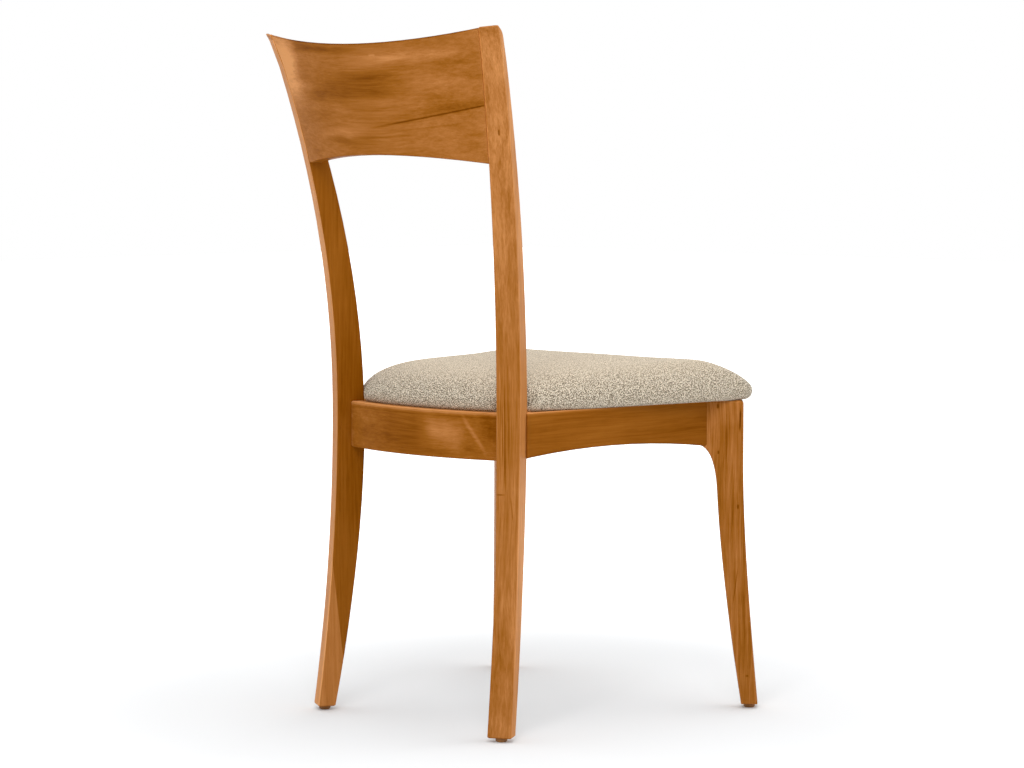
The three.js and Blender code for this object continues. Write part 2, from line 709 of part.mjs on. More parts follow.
// Screws through a block into the two rails, and one up into the seat board
function blockScrews(sidePoint, railPoint, railNormal, seatPoint) {
  const length = BLOCK_SCREW_GRIP + SCREW_BITE;
  const outward = sideInward.clone().negate();
  const across = (point, normal) => {
    return screw(level(ahead(point, normal, -BLOCK_SCREW_GRIP), BLOCK_SCREW_Z), flat(normal), length);
  };
  const intoSide = across(sidePoint, outward);
  const intoRail = across(railPoint, railNormal);
  const seatLength = BOARD_BOTTOM + SEAT_SCREW_BITE - BLOCK_BOTTOM;
  const intoSeat = screw(level(seatPoint, BLOCK_BOTTOM), UP, seatLength);
  return { intoSide, intoRail, intoSeat };
}

const COVER_BOTTOM = RAIL_TOP + CLEARANCE;
const BOARD_BOTTOM = COVER_BOTTOM + COVER_THICKNESS + CLEARANCE;
const BOARD_TOP = BOARD_BOTTOM + BOARD_THICKNESS;

// Where the line through p along d meets a bowed rail's inner face, kept clear of it
function meetInnerFace(arc, p, d) {
  const radius = arc.radius - RAIL_THICKNESS - CLEARANCE;
  const from = p.clone().sub(arc.centre);
  const half = from.dot(d);
  const root = Math.sqrt(half ** 2 - from.lengthSq() + radius ** 2);
  const distance = Math.abs(root - half) < Math.abs(root + half) ? root - half : -root - half;
  return ahead(p, d, distance);
}

// A block from its two faces against the rails, each face given by its end near the leg and its far end
function cornerBlock(side, rail, seatPoint) {
  const sidePoint = side.near.clone().lerp(side.far, BLOCK_SCREW_SHARE);
  const railPoint = rail.near.clone().lerp(rail.far, BLOCK_SCREW_SHARE);
  const railAlong = rail.far.clone().sub(rail.near).normalize();
  const railNormal = plan(railAlong.y, -railAlong.x);
  if (railNormal.dot(rail.near.clone().sub(seatPoint)) < 0) railNormal.negate();
  return {
    geometry: prism([side.near, side.far, rail.far, rail.near], BLOCK_BOTTOM, BLOCK_TOP),
    screws: blockScrews(sidePoint, railPoint, railNormal, seatPoint),
  };
}

function frontBlock() {
  const near = -HEAD_REACH - CLEARANCE;
  const far = near - FRONT_BLOCK_WIDTH;
  const onSide = (along) => meet(sideInner, sideRun, frontBoard.at(along, 0), frontBoard.face);
  const onRail = (along) => meetInnerFace(frontArc, frontBoard.at(along, -HALF_STOCK), frontBoard.face);
  const sideFace = { near: onSide(near), far: onSide(far) };
  const railFace = { near: onRail(near), far: onRail(far) };
  return cornerBlock(sideFace, railFace, frontBoard.at((near + far) / 2, 0));
}

function rearBlock() {
  const along = -HALF_DEPTH - CLEARANCE;
  const sideNear = meet(sideInner, sideRun, rearBoard.at(along, 0), rearBoard.face);
  const railNear = meetInnerFace(rearArc, rearBoard.at(along, HALF_STOCK), rearBoard.face);
  const sideFar = ahead(sideNear, sideRun, REAR_BLOCK_LEG);
  const farX = railNear.x + REAR_BLOCK_LEG;
  const railFar = plan(farX, rearArc.yAt(farX, RAIL_THICKNESS + CLEARANCE));
  const seatPoint = sideNear.clone().add(railNear).add(sideFar).add(railFar).divideScalar(4);
  return cornerBlock({ near: sideNear, far: sideFar }, { near: railNear, far: railFar }, seatPoint);
}

// Upholstered seat

// Half of the seat's outline at its fullest, from the middle of the back round the right side to the front
function seatHalfOutline() {
  const backMiddle = rearArc.yAt(0, SEAT_REAR_INSET);
  const clearOfPost = HALF_STOCK + SEAT_POST_GAP;
  const backCorner = meetInnerFace(rearArc, rearBoard.at(0, clearOfPost), rearBoard.run);
  backCorner.y = rearArc.yAt(backCorner.x, SEAT_REAR_INSET);
  const notch = rearBoard.at(-HALF_DEPTH - SEAT_POST_GAP, clearOfPost);
  const sideCorner = rearBoard.at(-HALF_DEPTH - SEAT_POST_GAP, -HALF_STOCK - SEAT_SIDE_OVERHANG);
  const frontCorner = plan(-SEAT_FRONT_CORNER_X, -SEAT_FRONT_CORNER_Y);
  const frontMiddle = -SEAT_FRONT_CORNER_Y - SEAT_FRONT_BOW;
  const toSide = sideCorner.clone().sub(frontCorner).normalize();
  const toNotch = notch.clone().sub(sideCorner).normalize();
  const path = new THREE.Path();
  const beforePost = backCorner.x + SEAT_SMALL_RADIUS;
  path.moveTo(0, backMiddle);
  path.quadraticCurveTo(backCorner.x / 2, backMiddle, beforePost, rearArc.yAt(beforePost, SEAT_REAR_INSET));
  path.quadraticCurveTo(backCorner.x, backCorner.y, notch.x, notch.y);
  const beforeSide = ahead(sideCorner, toNotch, SEAT_SMALL_RADIUS);
  const afterSide = ahead(sideCorner, toSide, -SEAT_SMALL_RADIUS);
  path.lineTo(beforeSide.x, beforeSide.y);
  path.quadraticCurveTo(sideCorner.x, sideCorner.y, afterSide.x, afterSide.y);
  const beforeFront = ahead(frontCorner, toSide, SEAT_CORNER_RADIUS);
  path.lineTo(beforeFront.x, beforeFront.y);
  path.quadraticCurveTo(frontCorner.x, frontCorner.y, frontCorner.x + SEAT_CORNER_RADIUS, frontCorner.y);
  path.quadraticCurveTo(frontCorner.x / 2, frontMiddle, 0, frontMiddle);
  return path.curves.flatMap((curve, i) => curve.getPoints(SEAT_OUTLINE_STEPS[i]).slice(i ? 1 : 0));
}

const seatHalf = seatHalfOutline();
const seatGirth = [
  ...seatHalf,
  ...seatHalf.slice(1, -1).reverse().map((point) => plan(-point.x, point.y)),
];

// The seat's outline drawn in by an inset, then shrunk towards the middle of the seat
function seatOutline(inset, share) {
  const middle = plan(0, SEAT_CENTRE_Y);
  return seatGirth.map((point) => {
    const arm = point.clone().sub(middle);
    return ahead(middle, arm, share * (1 - inset / arm.length()));
  });
}

const seatRing = (inset, share, z) => seatOutline(inset, share).map((point) => level(point, z));

// Rings over the crowned top, from the fullest part up to the crown
function crownRings(inset, crown) {
  return CROWN_SHARES.map(([share, rise]) => {
    return seatRing(inset, share, THREE.MathUtils.lerp(SEAT_GIRTH_Z, crown, rise));
  });
}

// Rings from the inner edge of the hem, out under the seat and up its drawn-in side
function skirtRings(inset, bottom) {
  return SKIRT_SHARES.map(([share, rise]) => {
    return seatRing(inset, share, THREE.MathUtils.lerp(bottom, SEAT_GIRTH_Z, rise));
  });
}

function seatCover() {
  const outside = [...skirtRings(0, COVER_BOTTOM), ...crownRings(0, SEAT_CROWN_Z)];
  const inside = [
    ...skirtRings(COVER_THICKNESS, COVER_BOTTOM + COVER_THICKNESS),
    ...crownRings(COVER_THICKNESS, SEAT_CROWN_Z - COVER_THICKNESS),
  ];
  return loft([...inside.reverse(), ...outside]);
}

function seatFoam() {
  const inset = COVER_THICKNESS + FOAM_CLEARANCE;
  const base = seatRing(inset, FOAM_BASE_SHARE, BOARD_TOP + CLEARANCE);
  return loft([base, ...crownRings(inset, SEAT_CROWN_Z - COVER_THICKNESS - FOAM_CLEARANCE)]);
}

function seatBoard() {
  return prism(seatOutline(BOARD_INSET, 1), BOARD_BOTTOM, BOARD_TOP);
}

function dustCover() {
  const top = BOARD_BOTTOM - CLEARANCE;
  return prism(seatOutline(0, DUST_COVER_SHARE), top - DUST_COVER_THICKNESS, top);
}

// Assembly

const cherry = { color: 0xb07239, roughness: 0.4, metalness: 0 };
const beech = { color: 0xc9a57a, roughness: 0.6, metalness: 0 };
const plywood = { color: 0xbf9b6c, roughness: 0.7, metalness: 0 };
const foam = { color: 0xe8dcb0, roughness: 0.95, metalness: 0 };
const tweed = { color: 0xbdb19a, roughness: 0.95, metalness: 0 };
const cambric = { color: 0x1c1c1c, roughness: 0.95, metalness: 0 };
const steel = { color: 0xa8a8a8, roughness: 0.35, metalness: 1 };
const nylon = { color: 0x5c3a1e, roughness: 0.5, metalness: 0 };

const chair = new THREE.Group();
chair.name = 'klismos_chair';

function place(name, geometry, look) {
  const bare = geometry.index ? geometry.toNonIndexed() : geometry.clone();
  bare.deleteAttribute('normal');
  bare.deleteAttribute('uv');
  const finished = mergeVertices(bare);
  finished.computeVertexNormals();
  const mesh = new THREE.Mesh(finished, new THREE.MeshStandardMaterial(look));
  mesh.name = name;
  chair.add(mesh);
}

function placePair(name, geometry, look) {
  place(`${name}_right`, geometry, look);
  place(`${name}_left`, mirrored(geometry), look);
}

const rearRailPins = rearRailDowels();
const sideRearPins = sideRearDowels();
const sideFrontPins = sideFrontDowels();
const frontRailPins = frontRailDowels();
const crestPins = crestDowels();
const rearFootAlong = (backEdge(FOOT_Z) + frontEdge(FOOT_Z)) / 2;
const rearFootAcross = (innerFace(rearFootAlong, FOOT_Z) - outerFace(FOOT_Z)) / 2;
const rearGlide = glide(rearBoard.at(rearFootAlong, rearFootAcross));
const frontGlide = glide(frontBoard.at((FRONT_FOOT_OUTER + FRONT_FOOT_INNER) / 2, 0));
const front = frontBlock();
const rear = rearBlock();
const bores = (...pieces) => pieces.flat().map((piece) => piece.bore);
const bothSides = (tools) => [...tools, ...tools.map(mirrored)];

placePair('rear_leg', cut(rearLeg(), [
  ...bores(rearRailPins, sideRearPins, crestPins, rearGlide),
]), cherry);
placePair('front_leg', cut(frontLeg(), bores(sideFrontPins, frontRailPins, frontGlide)), cherry);
place('crest_rail', cut(crestRail(), bothSides([pastRightPost(), ...bores(crestPins)])), cherry);
place('rear_rail', cut(bowedRail(rearArc, Math.abs(rearRailEnd.x)), bothSides([
  pastRightPost(),
  ...bores(rearRailPins, rear.screws.intoRail),
])), cherry);
place('front_rail', cut(bowedRail(frontArc, Math.abs(frontRailEnd.x)), [
  archTool(plan(0, frontRailEnd.y), frontRun, 2 * Math.abs(frontRailEnd.x)),
  ...bothSides([pastRightHead(), ...bores(frontRailPins, front.screws.intoRail)]),
]), cherry);
placePair('side_rail', cut(sideRail(), [
  ...sideRailTools(),
  ...bores(sideRearPins, sideFrontPins, front.screws.intoSide, rear.screws.intoSide),
]), cherry);
placePair('front_corner_block', cut(front.geometry, bores(Object.values(front.screws))), beech);
placePair('rear_corner_block', cut(rear.geometry, bores(Object.values(rear.screws))), beech);

const dowels = {
  crest: crestPins,
  rear_rail: rearRailPins,
  side_rail_rear: sideRearPins,
  side_rail_front: sideFrontPins,
  front_rail: frontRailPins,
};
for (const [joint, [upper, lower]] of Object.entries(dowels)) {
  placePair(`${joint}_upper_dowel`, upper.geometry, beech);
  placePair(`${joint}_lower_dowel`, lower.geometry, beech);
}
for (const [corner, block] of Object.entries({ front, rear })) {
  placePair(`${corner}_block_side_screw`, block.screws.intoSide.geometry, steel);
  placePair(`${corner}_block_rail_screw`, block.screws.intoRail.geometry, steel);
  placePair(`${corner}_seat_screw`, block.screws.intoSeat.geometry, steel);
}
placePair('rear_glide', rearGlide.geometry, nylon);
placePair('front_glide', frontGlide.geometry, nylon);

const seatBores = bothSides(bores(front.screws.intoSeat, rear.screws.intoSeat));
place('seat_board', cut(seatBoard(), seatBores), plywood);
place('seat_foam', seatFoam(), foam);
place('seat_cover', cut(seatCover(), seatBores), tweed);
place('dust_cover', cut(dustCover(), seatBores), cambric);

export default chair;
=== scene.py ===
"""The looks of a klismos dining chair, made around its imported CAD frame.

Everything is in metres, in the frame of the CAD model: +Z up, the sitter faces -Y, and the sitter's
right is -X. The azimuth of a direction is measured in plan from +X towards +Y.
"""
import math

import bpy
import numpy as np
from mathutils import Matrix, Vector


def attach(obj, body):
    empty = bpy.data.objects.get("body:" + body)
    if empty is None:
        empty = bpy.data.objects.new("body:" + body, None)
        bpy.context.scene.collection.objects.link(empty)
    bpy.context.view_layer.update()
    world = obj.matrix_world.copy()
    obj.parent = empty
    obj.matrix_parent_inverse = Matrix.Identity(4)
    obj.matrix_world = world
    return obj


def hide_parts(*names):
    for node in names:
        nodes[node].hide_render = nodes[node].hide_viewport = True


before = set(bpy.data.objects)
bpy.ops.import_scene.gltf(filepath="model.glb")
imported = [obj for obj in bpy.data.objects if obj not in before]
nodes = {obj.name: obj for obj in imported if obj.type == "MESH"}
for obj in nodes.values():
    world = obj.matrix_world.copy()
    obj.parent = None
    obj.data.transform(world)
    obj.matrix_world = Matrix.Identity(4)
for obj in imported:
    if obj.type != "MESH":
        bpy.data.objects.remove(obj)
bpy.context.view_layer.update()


# Directions

UP = (0, 0, 1)
CROSSWAYS = (1, 0, 0)
BACKWARDS = (0, 1, 0)


def plan_direction(azimuth, elevation=0):
    a, e = math.radians(azimuth), math.radians(elevation)
    return Vector((math.cos(a) * math.cos(e), math.sin(a) * math.cos(e), math.sin(e)))


def opposite(vector):
    """The same place or direction on the other side of the chair's plane of symmetry."""
    x, y, z = vector
    return Vector((-x, y, z))


def quarter_turned(run):
    return Vector((run.y, -run.x, 0))


# The right rear leg: its place and turn in plan, half its section, and how its back edge sweeps
POST_PLACE = (-0.1593, 0.1464)
POST_TURN_DEGREES = 120
POST_HALF_DEPTH = 0.0199
POST_HALF_STOCK = 0.01625
POST_WAIST_Z = 0.43
POST_TOP_Z = 0.942
POST_SWEEP = 0.0891

# Across its section it runs from front to back, and its inner face looks to the chair's middle
POST_RUN = plan_direction(POST_TURN_DEGREES)
POST_FACE = quarter_turned(POST_RUN)

# The broad face of the right front leg
KNEE_TURN_DEGREES = 220
KNEE_FACE = quarter_turned(plan_direction(KNEE_TURN_DEGREES))


# Node trees

class Tree:
    """A node tree with a short call for each node. A value may be a number, a tuple or a socket."""

    def __init__(self, tree):
        self.tree = tree
        tree.nodes.clear()

    def node(self, kind, inputs=None, **settings):
        node = self.tree.nodes.new(kind)
        for name, value in settings.items():
            setattr(node, name, value)
        for name, value in (inputs or {}).items():
            self.put(node.inputs[name], value)
        return node

    def put(self, socket, value):
        if isinstance(value, bpy.types.NodeSocket):
            self.tree.links.new(value, socket)
        else:
            socket.default_value = value

    def math(self, operation, a, b=0.0):
        return self.node("ShaderNodeMath", {0: a, 1: b}, operation=operation).outputs[0]

    def add(self, a, b):
        return self.math("ADD", a, b)

    def minus(self, a, b):
        return self.math("SUBTRACT", a, b)

    def times(self, a, b):
        return self.math("MULTIPLY", a, b)

    def larger(self, a, b):
        return self.math("MAXIMUM", a, b)

    def unsigned(self, a):
        return self.math("ABSOLUTE", a)

    def span(self, value, low, high, to_low=0.0, to_high=1.0, kind="LINEAR"):
        inputs = {
            "Value": value, "From Min": low, "From Max": high, "To Min": to_low, "To Max": to_high,
        }
        return self.node("ShaderNodeMapRange", inputs, interpolation_type=kind).outputs[0]

    def smooth(self, value, low, high, to_low=0.0, to_high=1.0):
        return self.span(value, low, high, to_low, to_high, kind="SMOOTHSTEP")

    def falling(self, value, low, high):
        """1 up to low, and down to 0 at high."""
        return self.smooth(value, low, high, 1.0, 0.0)

    def centred(self, noise, strength):
        """Noise that lightens as much as it darkens."""
        return self.times(self.minus(noise, 0.5), strength)

    def roughness(self, noise, low, high):
        """A roughness from low to high over the usual range of a noise."""
        return self.span(noise, 0.2, 0.8, low, high)

    def vector(self, x=0.0, y=0.0, z=0.0):
        return self.node("ShaderNodeCombineXYZ", {0: x, 1: y, 2: z}).outputs[0]

    def parts(self, vector):
        return self.node("ShaderNodeSeparateXYZ", {0: vector}).outputs

    def place(self):
        """Where a point lies in the chair's frame, because every object sits at the origin."""
        return self.node("ShaderNodeTexCoord").outputs["Object"]

    def normal(self):
        return self.node("ShaderNodeTexCoord").outputs["Normal"]

    def vector_math(self, operation, a, b=(0, 0, 0)):
        return self.node("ShaderNodeVectorMath", {0: a, 1: b}, operation=operation).outputs

    def scaled(self, vector, factors):
        return self.vector_math("MULTIPLY", vector, factors)[0]

    def shifted(self, vector, offset):
        return self.vector_math("ADD", vector, offset)[0]

    def dot(self, vector, direction):
        return self.vector_math("DOT_PRODUCT", vector, tuple(direction))["Value"]

    def noise(self, place, scale, detail=2.0, roughness=0.5, distortion=0.0):
        """Noise over a place that is scaled by its own factor along each axis."""
        inputs = {
            "Vector": self.scaled(place, scale), "Scale": 1.0, "Detail": detail,
            "Roughness": roughness, "Distortion": distortion,
        }
        return self.node("ShaderNodeTexNoise", inputs).outputs[0]

    def mix(self, share, a, b):
        node = self.node("ShaderNodeMix", data_type="RGBA", blend_type="MIX")
        self.put(node.inputs[0], share)
        self.put(node.inputs[6], a)
        self.put(node.inputs[7], b)
        return node.outputs[2]

    def ramp(self, value, stops):
        node = self.node("ShaderNodeValToRGB", {0: value})
        elements = node.color_ramp.elements
        while len(elements) < len(stops):
            elements.new(0.5)
        for element, (place, colour) in zip(elements, stops):
            element.position = place
            element.color = colour
        return node.outputs[0]

    def bump(self, height, strength, distance):
        inputs = {"Height": height, "Strength": strength, "Distance": distance}
        return self.node("ShaderNodeBump", inputs).outputs[0]


def rgb(red, green, blue):
    """A colour as it is seen, from 0 to 255, in the linear values that a node takes."""
    def linear(value):
        value /= 255
        return value / 12.92 if value <= 0.04045 else ((value + 0.055) / 1.055) ** 2.4
    return (linear(red), linear(green), linear(blue), 1.0)


def material(name, build):
    made = bpy.data.materials.new(name)
    made.use_nodes = True
    tree = Tree(made.node_tree)
    inputs = build(tree)
    shader = tree.node("ShaderNodeBsdfPrincipled", inputs)
    tree.node("ShaderNodeOutputMaterial", {0: shader.outputs[0]})
    return made


def give(name, look):
    """Puts a material into the slots of a CAD node's own object."""
    for slot in nodes[name].material_slots:
        slot.material = look


# Wood

class Board:
    """How a board was cut: the way its grain runs, the way its broad face looks, its tone and marks.

    Cloud is the strength of its cloudy figure, and figure that of its other patterns.
    """

    def __init__(self, origin, grain, face, seed, tone, cloud=0.5, marks=(), figure=1.0):
        self.origin = Vector(origin)
        self.grain = Vector(grain).normalized()
        face = Vector(face)
        self.face = (face - face.dot(self.grain) * self.grain).normalized()
        self.side = self.face.cross(self.grain)
        self.seed = seed
        self.tone = tone
        self.cloud = cloud
        self.marks = marks
        self.figure = figure

        # What its place in the chair adds: see where the boards are given their materials
        self.marked_side = None
        self.painted_top_shading = 0.0
        self.face_painted_light = ()
        self.facet_painted_light = 0.0
        self.joint_normals = ()
        self.is_post = False
        self.is_side_rail = False


# Cherry, from dark to light: where each colour stands on the scale of tones
CHERRY_TONES = [
    (0.00, (0.120, 0.029, 0.000, 1)),
    (0.20, (0.215, 0.062, 0.001, 1)),
    (0.40, (0.315, 0.105, 0.010, 1)),
    (0.60, (0.420, 0.158, 0.036, 1)),
    (0.80, (0.545, 0.226, 0.067, 1)),
    (1.00, (0.700, 0.312, 0.106, 1)),
]
CHERRY_GUM = (0.085, 0.022, 0.002, 1)

# How much of a board's seed is added to a place along its grain, across it and through the board
SEED_SHARES = (1.7, 0.9, 1.0)

# Its patterns: the scale along the grain, across it and through the board, detail, roughness, distortion
SWAY = ((3.5, 11, 11), 2.0, 0.45)
FIBRE = ((24, 820, 820), 3.0, 0.6)
COARSE = ((9, 290, 290), 2.0, 0.55)
STREAK = ((3.2, 95, 95), 2.0, 0.5)
GROWTH = ((0.9, 62, 62), 1.0, 0.5)
PORES = ((110, 2100, 2100), 1.0)
CLOUD = ((6, 34, 34), 3.0, 0.5, 0.4)
BROAD = ((3, 12, 12), 1.0, 0.5)
BARS = ((46, 8, 8), 2.0, 0.5)

# How far the grain sways across a board, and how much of that goes through it
SWAY_REACH = 0.020
SWAY_THROUGH = 0.6

# Where in their noise the streaks and the pores begin and are full
STREAK_RANGE = (0.54, 0.74)
PORE_RANGE = (0.66, 0.74)

# How much each pattern moves the tone
BROAD_SHARE = 0.7
BARS_DEPTH = 0.08
GROWTH_DEPTH = 0.26
FIBRE_DEPTH = 0.34
COARSE_DEPTH = 0.40
STREAK_DEPTH = 0.09
PORE_DEPTH = 0.25

# Marks fade in and out over this share of their run. Where a board has a marked side, they turn
# fainter towards the other side, over this cosine to either side of its edge
MARK_FADE = 0.3
MARKED_TURN = 0.3
MARKED_FAINT = 0.2

# Arrises, lighter as wear and as a painted highlight: where their pointiness begins and is full, and how
# much lighter and rougher they get
WORN_AND_HIGHLIGHT_RANGE = (0.53, 0.62)
WORN_AND_HIGHLIGHT_LIFT = 0.10
WORN_ROUGHNESS = 0.05

# Painted light and shade on faces that look up or down: over which heights of the normal it comes in
UPWARD_RANGE = (0.25, 0.75)
DOWNWARD_RANGE = (-0.75, -0.35)
# Undersides get painted shade, the crest rail's top painted shade, and the other rails' tops painted light
DOWNWARD_PAINTED_SHADE = 0.2
CREST_TOP_PAINTED_SHADE = 0.05
RAIL_TOP_PAINTED_LIGHT = -0.45

# Over which cosine the painted light of a face that looks a given way comes in
FACE_SOFTNESS = 0.1

# The surface: how much fibres and pores count in its relief, the strength and height of the relief,
# the range of its roughness, and its low gloss
FIBRE_RELIEF = 0.5
PORE_RELIEF = -0.8
CHERRY_RELIEF = (0.12, 0.0004)
CHERRY_ROUGHNESS = (0.36, 0.50)
CHERRY_SPECULAR = 0.02

# Glued joints would turn into black slots: the glow that end faces and arrises in them get, and over
# which cosine with a joint's own direction an end face gets it
JOINT_GLOW = 0.5
POST_GLOW = 0.55
JOINT_FACING = (0.85, 0.95)

# The joint of post and crest rail: where it begins, and how near the post's inner back arris
CREST_BOTTOM_Z = 0.775
CREST_FADE = 0.004
ARRIS_BACK_RANGE = (0.004, 0.007)
ARRIS_FACE_RANGE = (0.0032, 0.001)

# The side rail's end at a rear leg: how far from the leg's faces its glow fades
RAIL_END_RANGE = (0.0008, 0.003)

# The facet low on a rear leg's inner face, which gets painted light: its edge's height at the front, and
# its rise per metre of depth
FACET_FRONT_Z = 0.068
FACET_FRONT_RUN = 0.0126
FACET_RISE = 9.48
FACET_SOFTNESS = 0.006
FACET_FACE_RANGE = (0.0035, 0.0015)


def board_places(tree, board):
    """Where a point lies in a board: along its grain, across its broad face, and through it."""
    place = tree.shifted(tree.place(), tuple(-board.origin))
    return [tree.dot(place, direction) for direction in (board.grain, board.side, board.face)]


def mark_shade(tree, along, across, mark):
    """A streak or spot that follows a curve along the grain: full on its line, fading to both ends."""
    start, end, (level, slope, bend), width, strength = mark
    run = tree.minus(along, (start + end) / 2)
    curve = tree.add(tree.times(run, slope), tree.times(tree.times(run, run), bend))
    line = tree.add(level, curve)
    core = tree.falling(tree.unsigned(tree.minus(across, line)), 0.0, width)
    fade = (end - start) * MARK_FADE
    rise = tree.smooth(along, start, start + fade)
    fall = tree.falling(along, end - fade, end)
    return tree.times(tree.times(core, strength), tree.times(rise, fall))


def post_places(tree):
    """Where a point lies in either rear leg: from front to back, towards its inner face, and up."""
    place = tree.parts(tree.place())
    x = tree.add(tree.unsigned(place[0]), POST_PLACE[0])
    y = tree.minus(place[1], POST_PLACE[1])
    run = tree.add(tree.times(x, -POST_RUN.x), tree.times(y, POST_RUN.y))
    face = tree.add(tree.times(x, -POST_FACE.x), tree.times(y, POST_FACE.y))
    return run, face, place[2]


def near_inner_face(tree, face, begins, full):
    """How near a point is to a rear leg's inner face, given how far under it this begins and is full."""
    return tree.smooth(face, POST_HALF_STOCK - begins, POST_HALF_STOCK - full)


def facet(tree):
    """How much a point lies on the facet low on a rear leg. Its edge rises from front to back."""
    run, face, z = post_places(tree)
    rise = tree.times(tree.minus(run, FACET_FRONT_RUN), FACET_RISE)
    above = tree.minus(z, tree.add(FACET_FRONT_Z, rise))
    below = tree.falling(above, -FACET_SOFTNESS, FACET_SOFTNESS)
    return tree.times(below, near_inner_face(tree, face, *FACET_FACE_RANGE))


def beside_post(tree):
    """The last millimetres of a side rail, where it is fitted round a rear leg."""
    clear = tree.minus(tree.unsigned(post_places(tree)[1]), POST_HALF_STOCK)
    return tree.falling(clear, *RAIL_END_RANGE)


def post_joint(tree):
    """Where a post's inner back arris runs along the crest rail."""
    run, face, z = post_places(tree)
    swept = tree.span(z, POST_WAIST_Z, POST_TOP_Z)
    back = tree.add(POST_HALF_DEPTH, tree.times(tree.times(swept, swept), POST_SWEEP))
    deep = tree.falling(tree.minus(back, run), *ARRIS_BACK_RANGE)
    inner = near_inner_face(tree, face, *ARRIS_FACE_RANGE)
    beside_crest = tree.smooth(z, CREST_BOTTOM_Z - CREST_FADE, CREST_BOTTOM_Z)
    return tree.times(tree.times(deep, inner), beside_crest)


def joint_glow(tree, board, normal):
    """How much of a point lies in a glued joint, or None for a board that shows no such joint."""
    if board.is_side_rail:
        return beside_post(tree)
    if board.is_post:
        return tree.times(post_joint(tree), POST_GLOW)
    if not board.joint_normals:
        return None
    inside = 0.0
    for direction in board.joint_normals:
        facing = tree.unsigned(tree.dot(normal, direction))
        inside = tree.larger(inside, tree.smooth(facing, *JOINT_FACING))
    return inside


def cherry(name, board):
    def build(tree):
        along, across, through = board_places(tree, board)
        seeds = tuple(board.seed * share for share in SEED_SHARES)
        place = tree.shifted(tree.vector(along, across, through), seeds)

        # The grain runs nearly straight and sways slowly
        sway = tree.centred(tree.noise(place, *SWAY), SWAY_REACH)
        grain = tree.shifted(place, tree.vector(0.0, sway, tree.times(sway, SWAY_THROUGH)))
        fibre, coarse = tree.noise(grain, *FIBRE), tree.noise(grain, *COARSE)
        streak = tree.smooth(tree.noise(grain, *STREAK), *STREAK_RANGE)
        growth = tree.noise(grain, *GROWTH)
        pores = tree.smooth(tree.noise(grain, *PORES), *PORE_RANGE)

        # The cloudy figure lies over the grain and doesn't follow its sway
        cloud, broad, bars = (tree.noise(place, *pattern) for pattern in (CLOUD, BROAD, BARS))

        shade = tree.add(board.tone, tree.centred(cloud, board.cloud))
        shade = tree.add(shade, tree.centred(broad, board.cloud * BROAD_SHARE))
        for noise, depth in (
            (bars, BARS_DEPTH), (growth, GROWTH_DEPTH), (fibre, FIBRE_DEPTH), (coarse, COARSE_DEPTH),
        ):
            shade = tree.add(shade, tree.centred(noise, depth * board.figure))
        shade = tree.minus(shade, tree.times(streak, STREAK_DEPTH * board.figure))

        normal = tree.normal()
        marks = 0.0
        for mark in board.marks:
            marks = tree.add(marks, mark_shade(tree, along, across, mark))
        if board.marked_side:
            facing = tree.dot(normal, board.marked_side)
            marks = tree.times(marks, tree.smooth(facing, -MARKED_TURN, MARKED_TURN, MARKED_FAINT, 1.0))
        shade = tree.minus(shade, marks)

        # Arrises are lighter, as wear and as a painted highlight, and faces get painted light or shade by
        # where they look
        pointiness = tree.node("ShaderNodeNewGeometry").outputs["Pointiness"]
        worn = tree.smooth(pointiness, *WORN_AND_HIGHLIGHT_RANGE)
        shade = tree.add(shade, tree.times(worn, WORN_AND_HIGHLIGHT_LIFT))
        upward = tree.smooth(tree.parts(normal)[2], *UPWARD_RANGE)
        downward = tree.falling(tree.parts(normal)[2], *DOWNWARD_RANGE)
        shade = tree.minus(shade, tree.times(upward, board.painted_top_shading))
        shade = tree.minus(shade, tree.times(downward, DOWNWARD_PAINTED_SHADE))
        for azimuth, low, shift in board.face_painted_light:
            cosine = tree.dot(normal, plan_direction(azimuth))
            shade = tree.add(shade, tree.times(tree.smooth(cosine, low, low + FACE_SOFTNESS), shift))
        # The facet low on a rear leg gets painted light
        if board.facet_painted_light:
            shade = tree.add(shade, tree.times(facet(tree), board.facet_painted_light))
        colour = tree.ramp(shade, CHERRY_TONES)
        colour = tree.mix(tree.times(pores, PORE_DEPTH), colour, CHERRY_GUM)

        height = tree.add(tree.times(fibre, FIBRE_RELIEF), tree.times(pores, PORE_RELIEF))
        rough = tree.roughness(coarse, *CHERRY_ROUGHNESS)
        inputs = {
            "Base Color": colour, "Roughness": tree.add(rough, tree.times(worn, WORN_ROUGHNESS)),
            "Specular IOR Level": CHERRY_SPECULAR,
            "Normal": tree.bump(height, *CHERRY_RELIEF),
        }
        inside = joint_glow(tree, board, normal)
        if inside is not None:
            inputs["Emission Color"] = colour
            inputs["Emission Strength"] = tree.times(inside, JOINT_GLOW)
        return inputs
    return material(name, build)


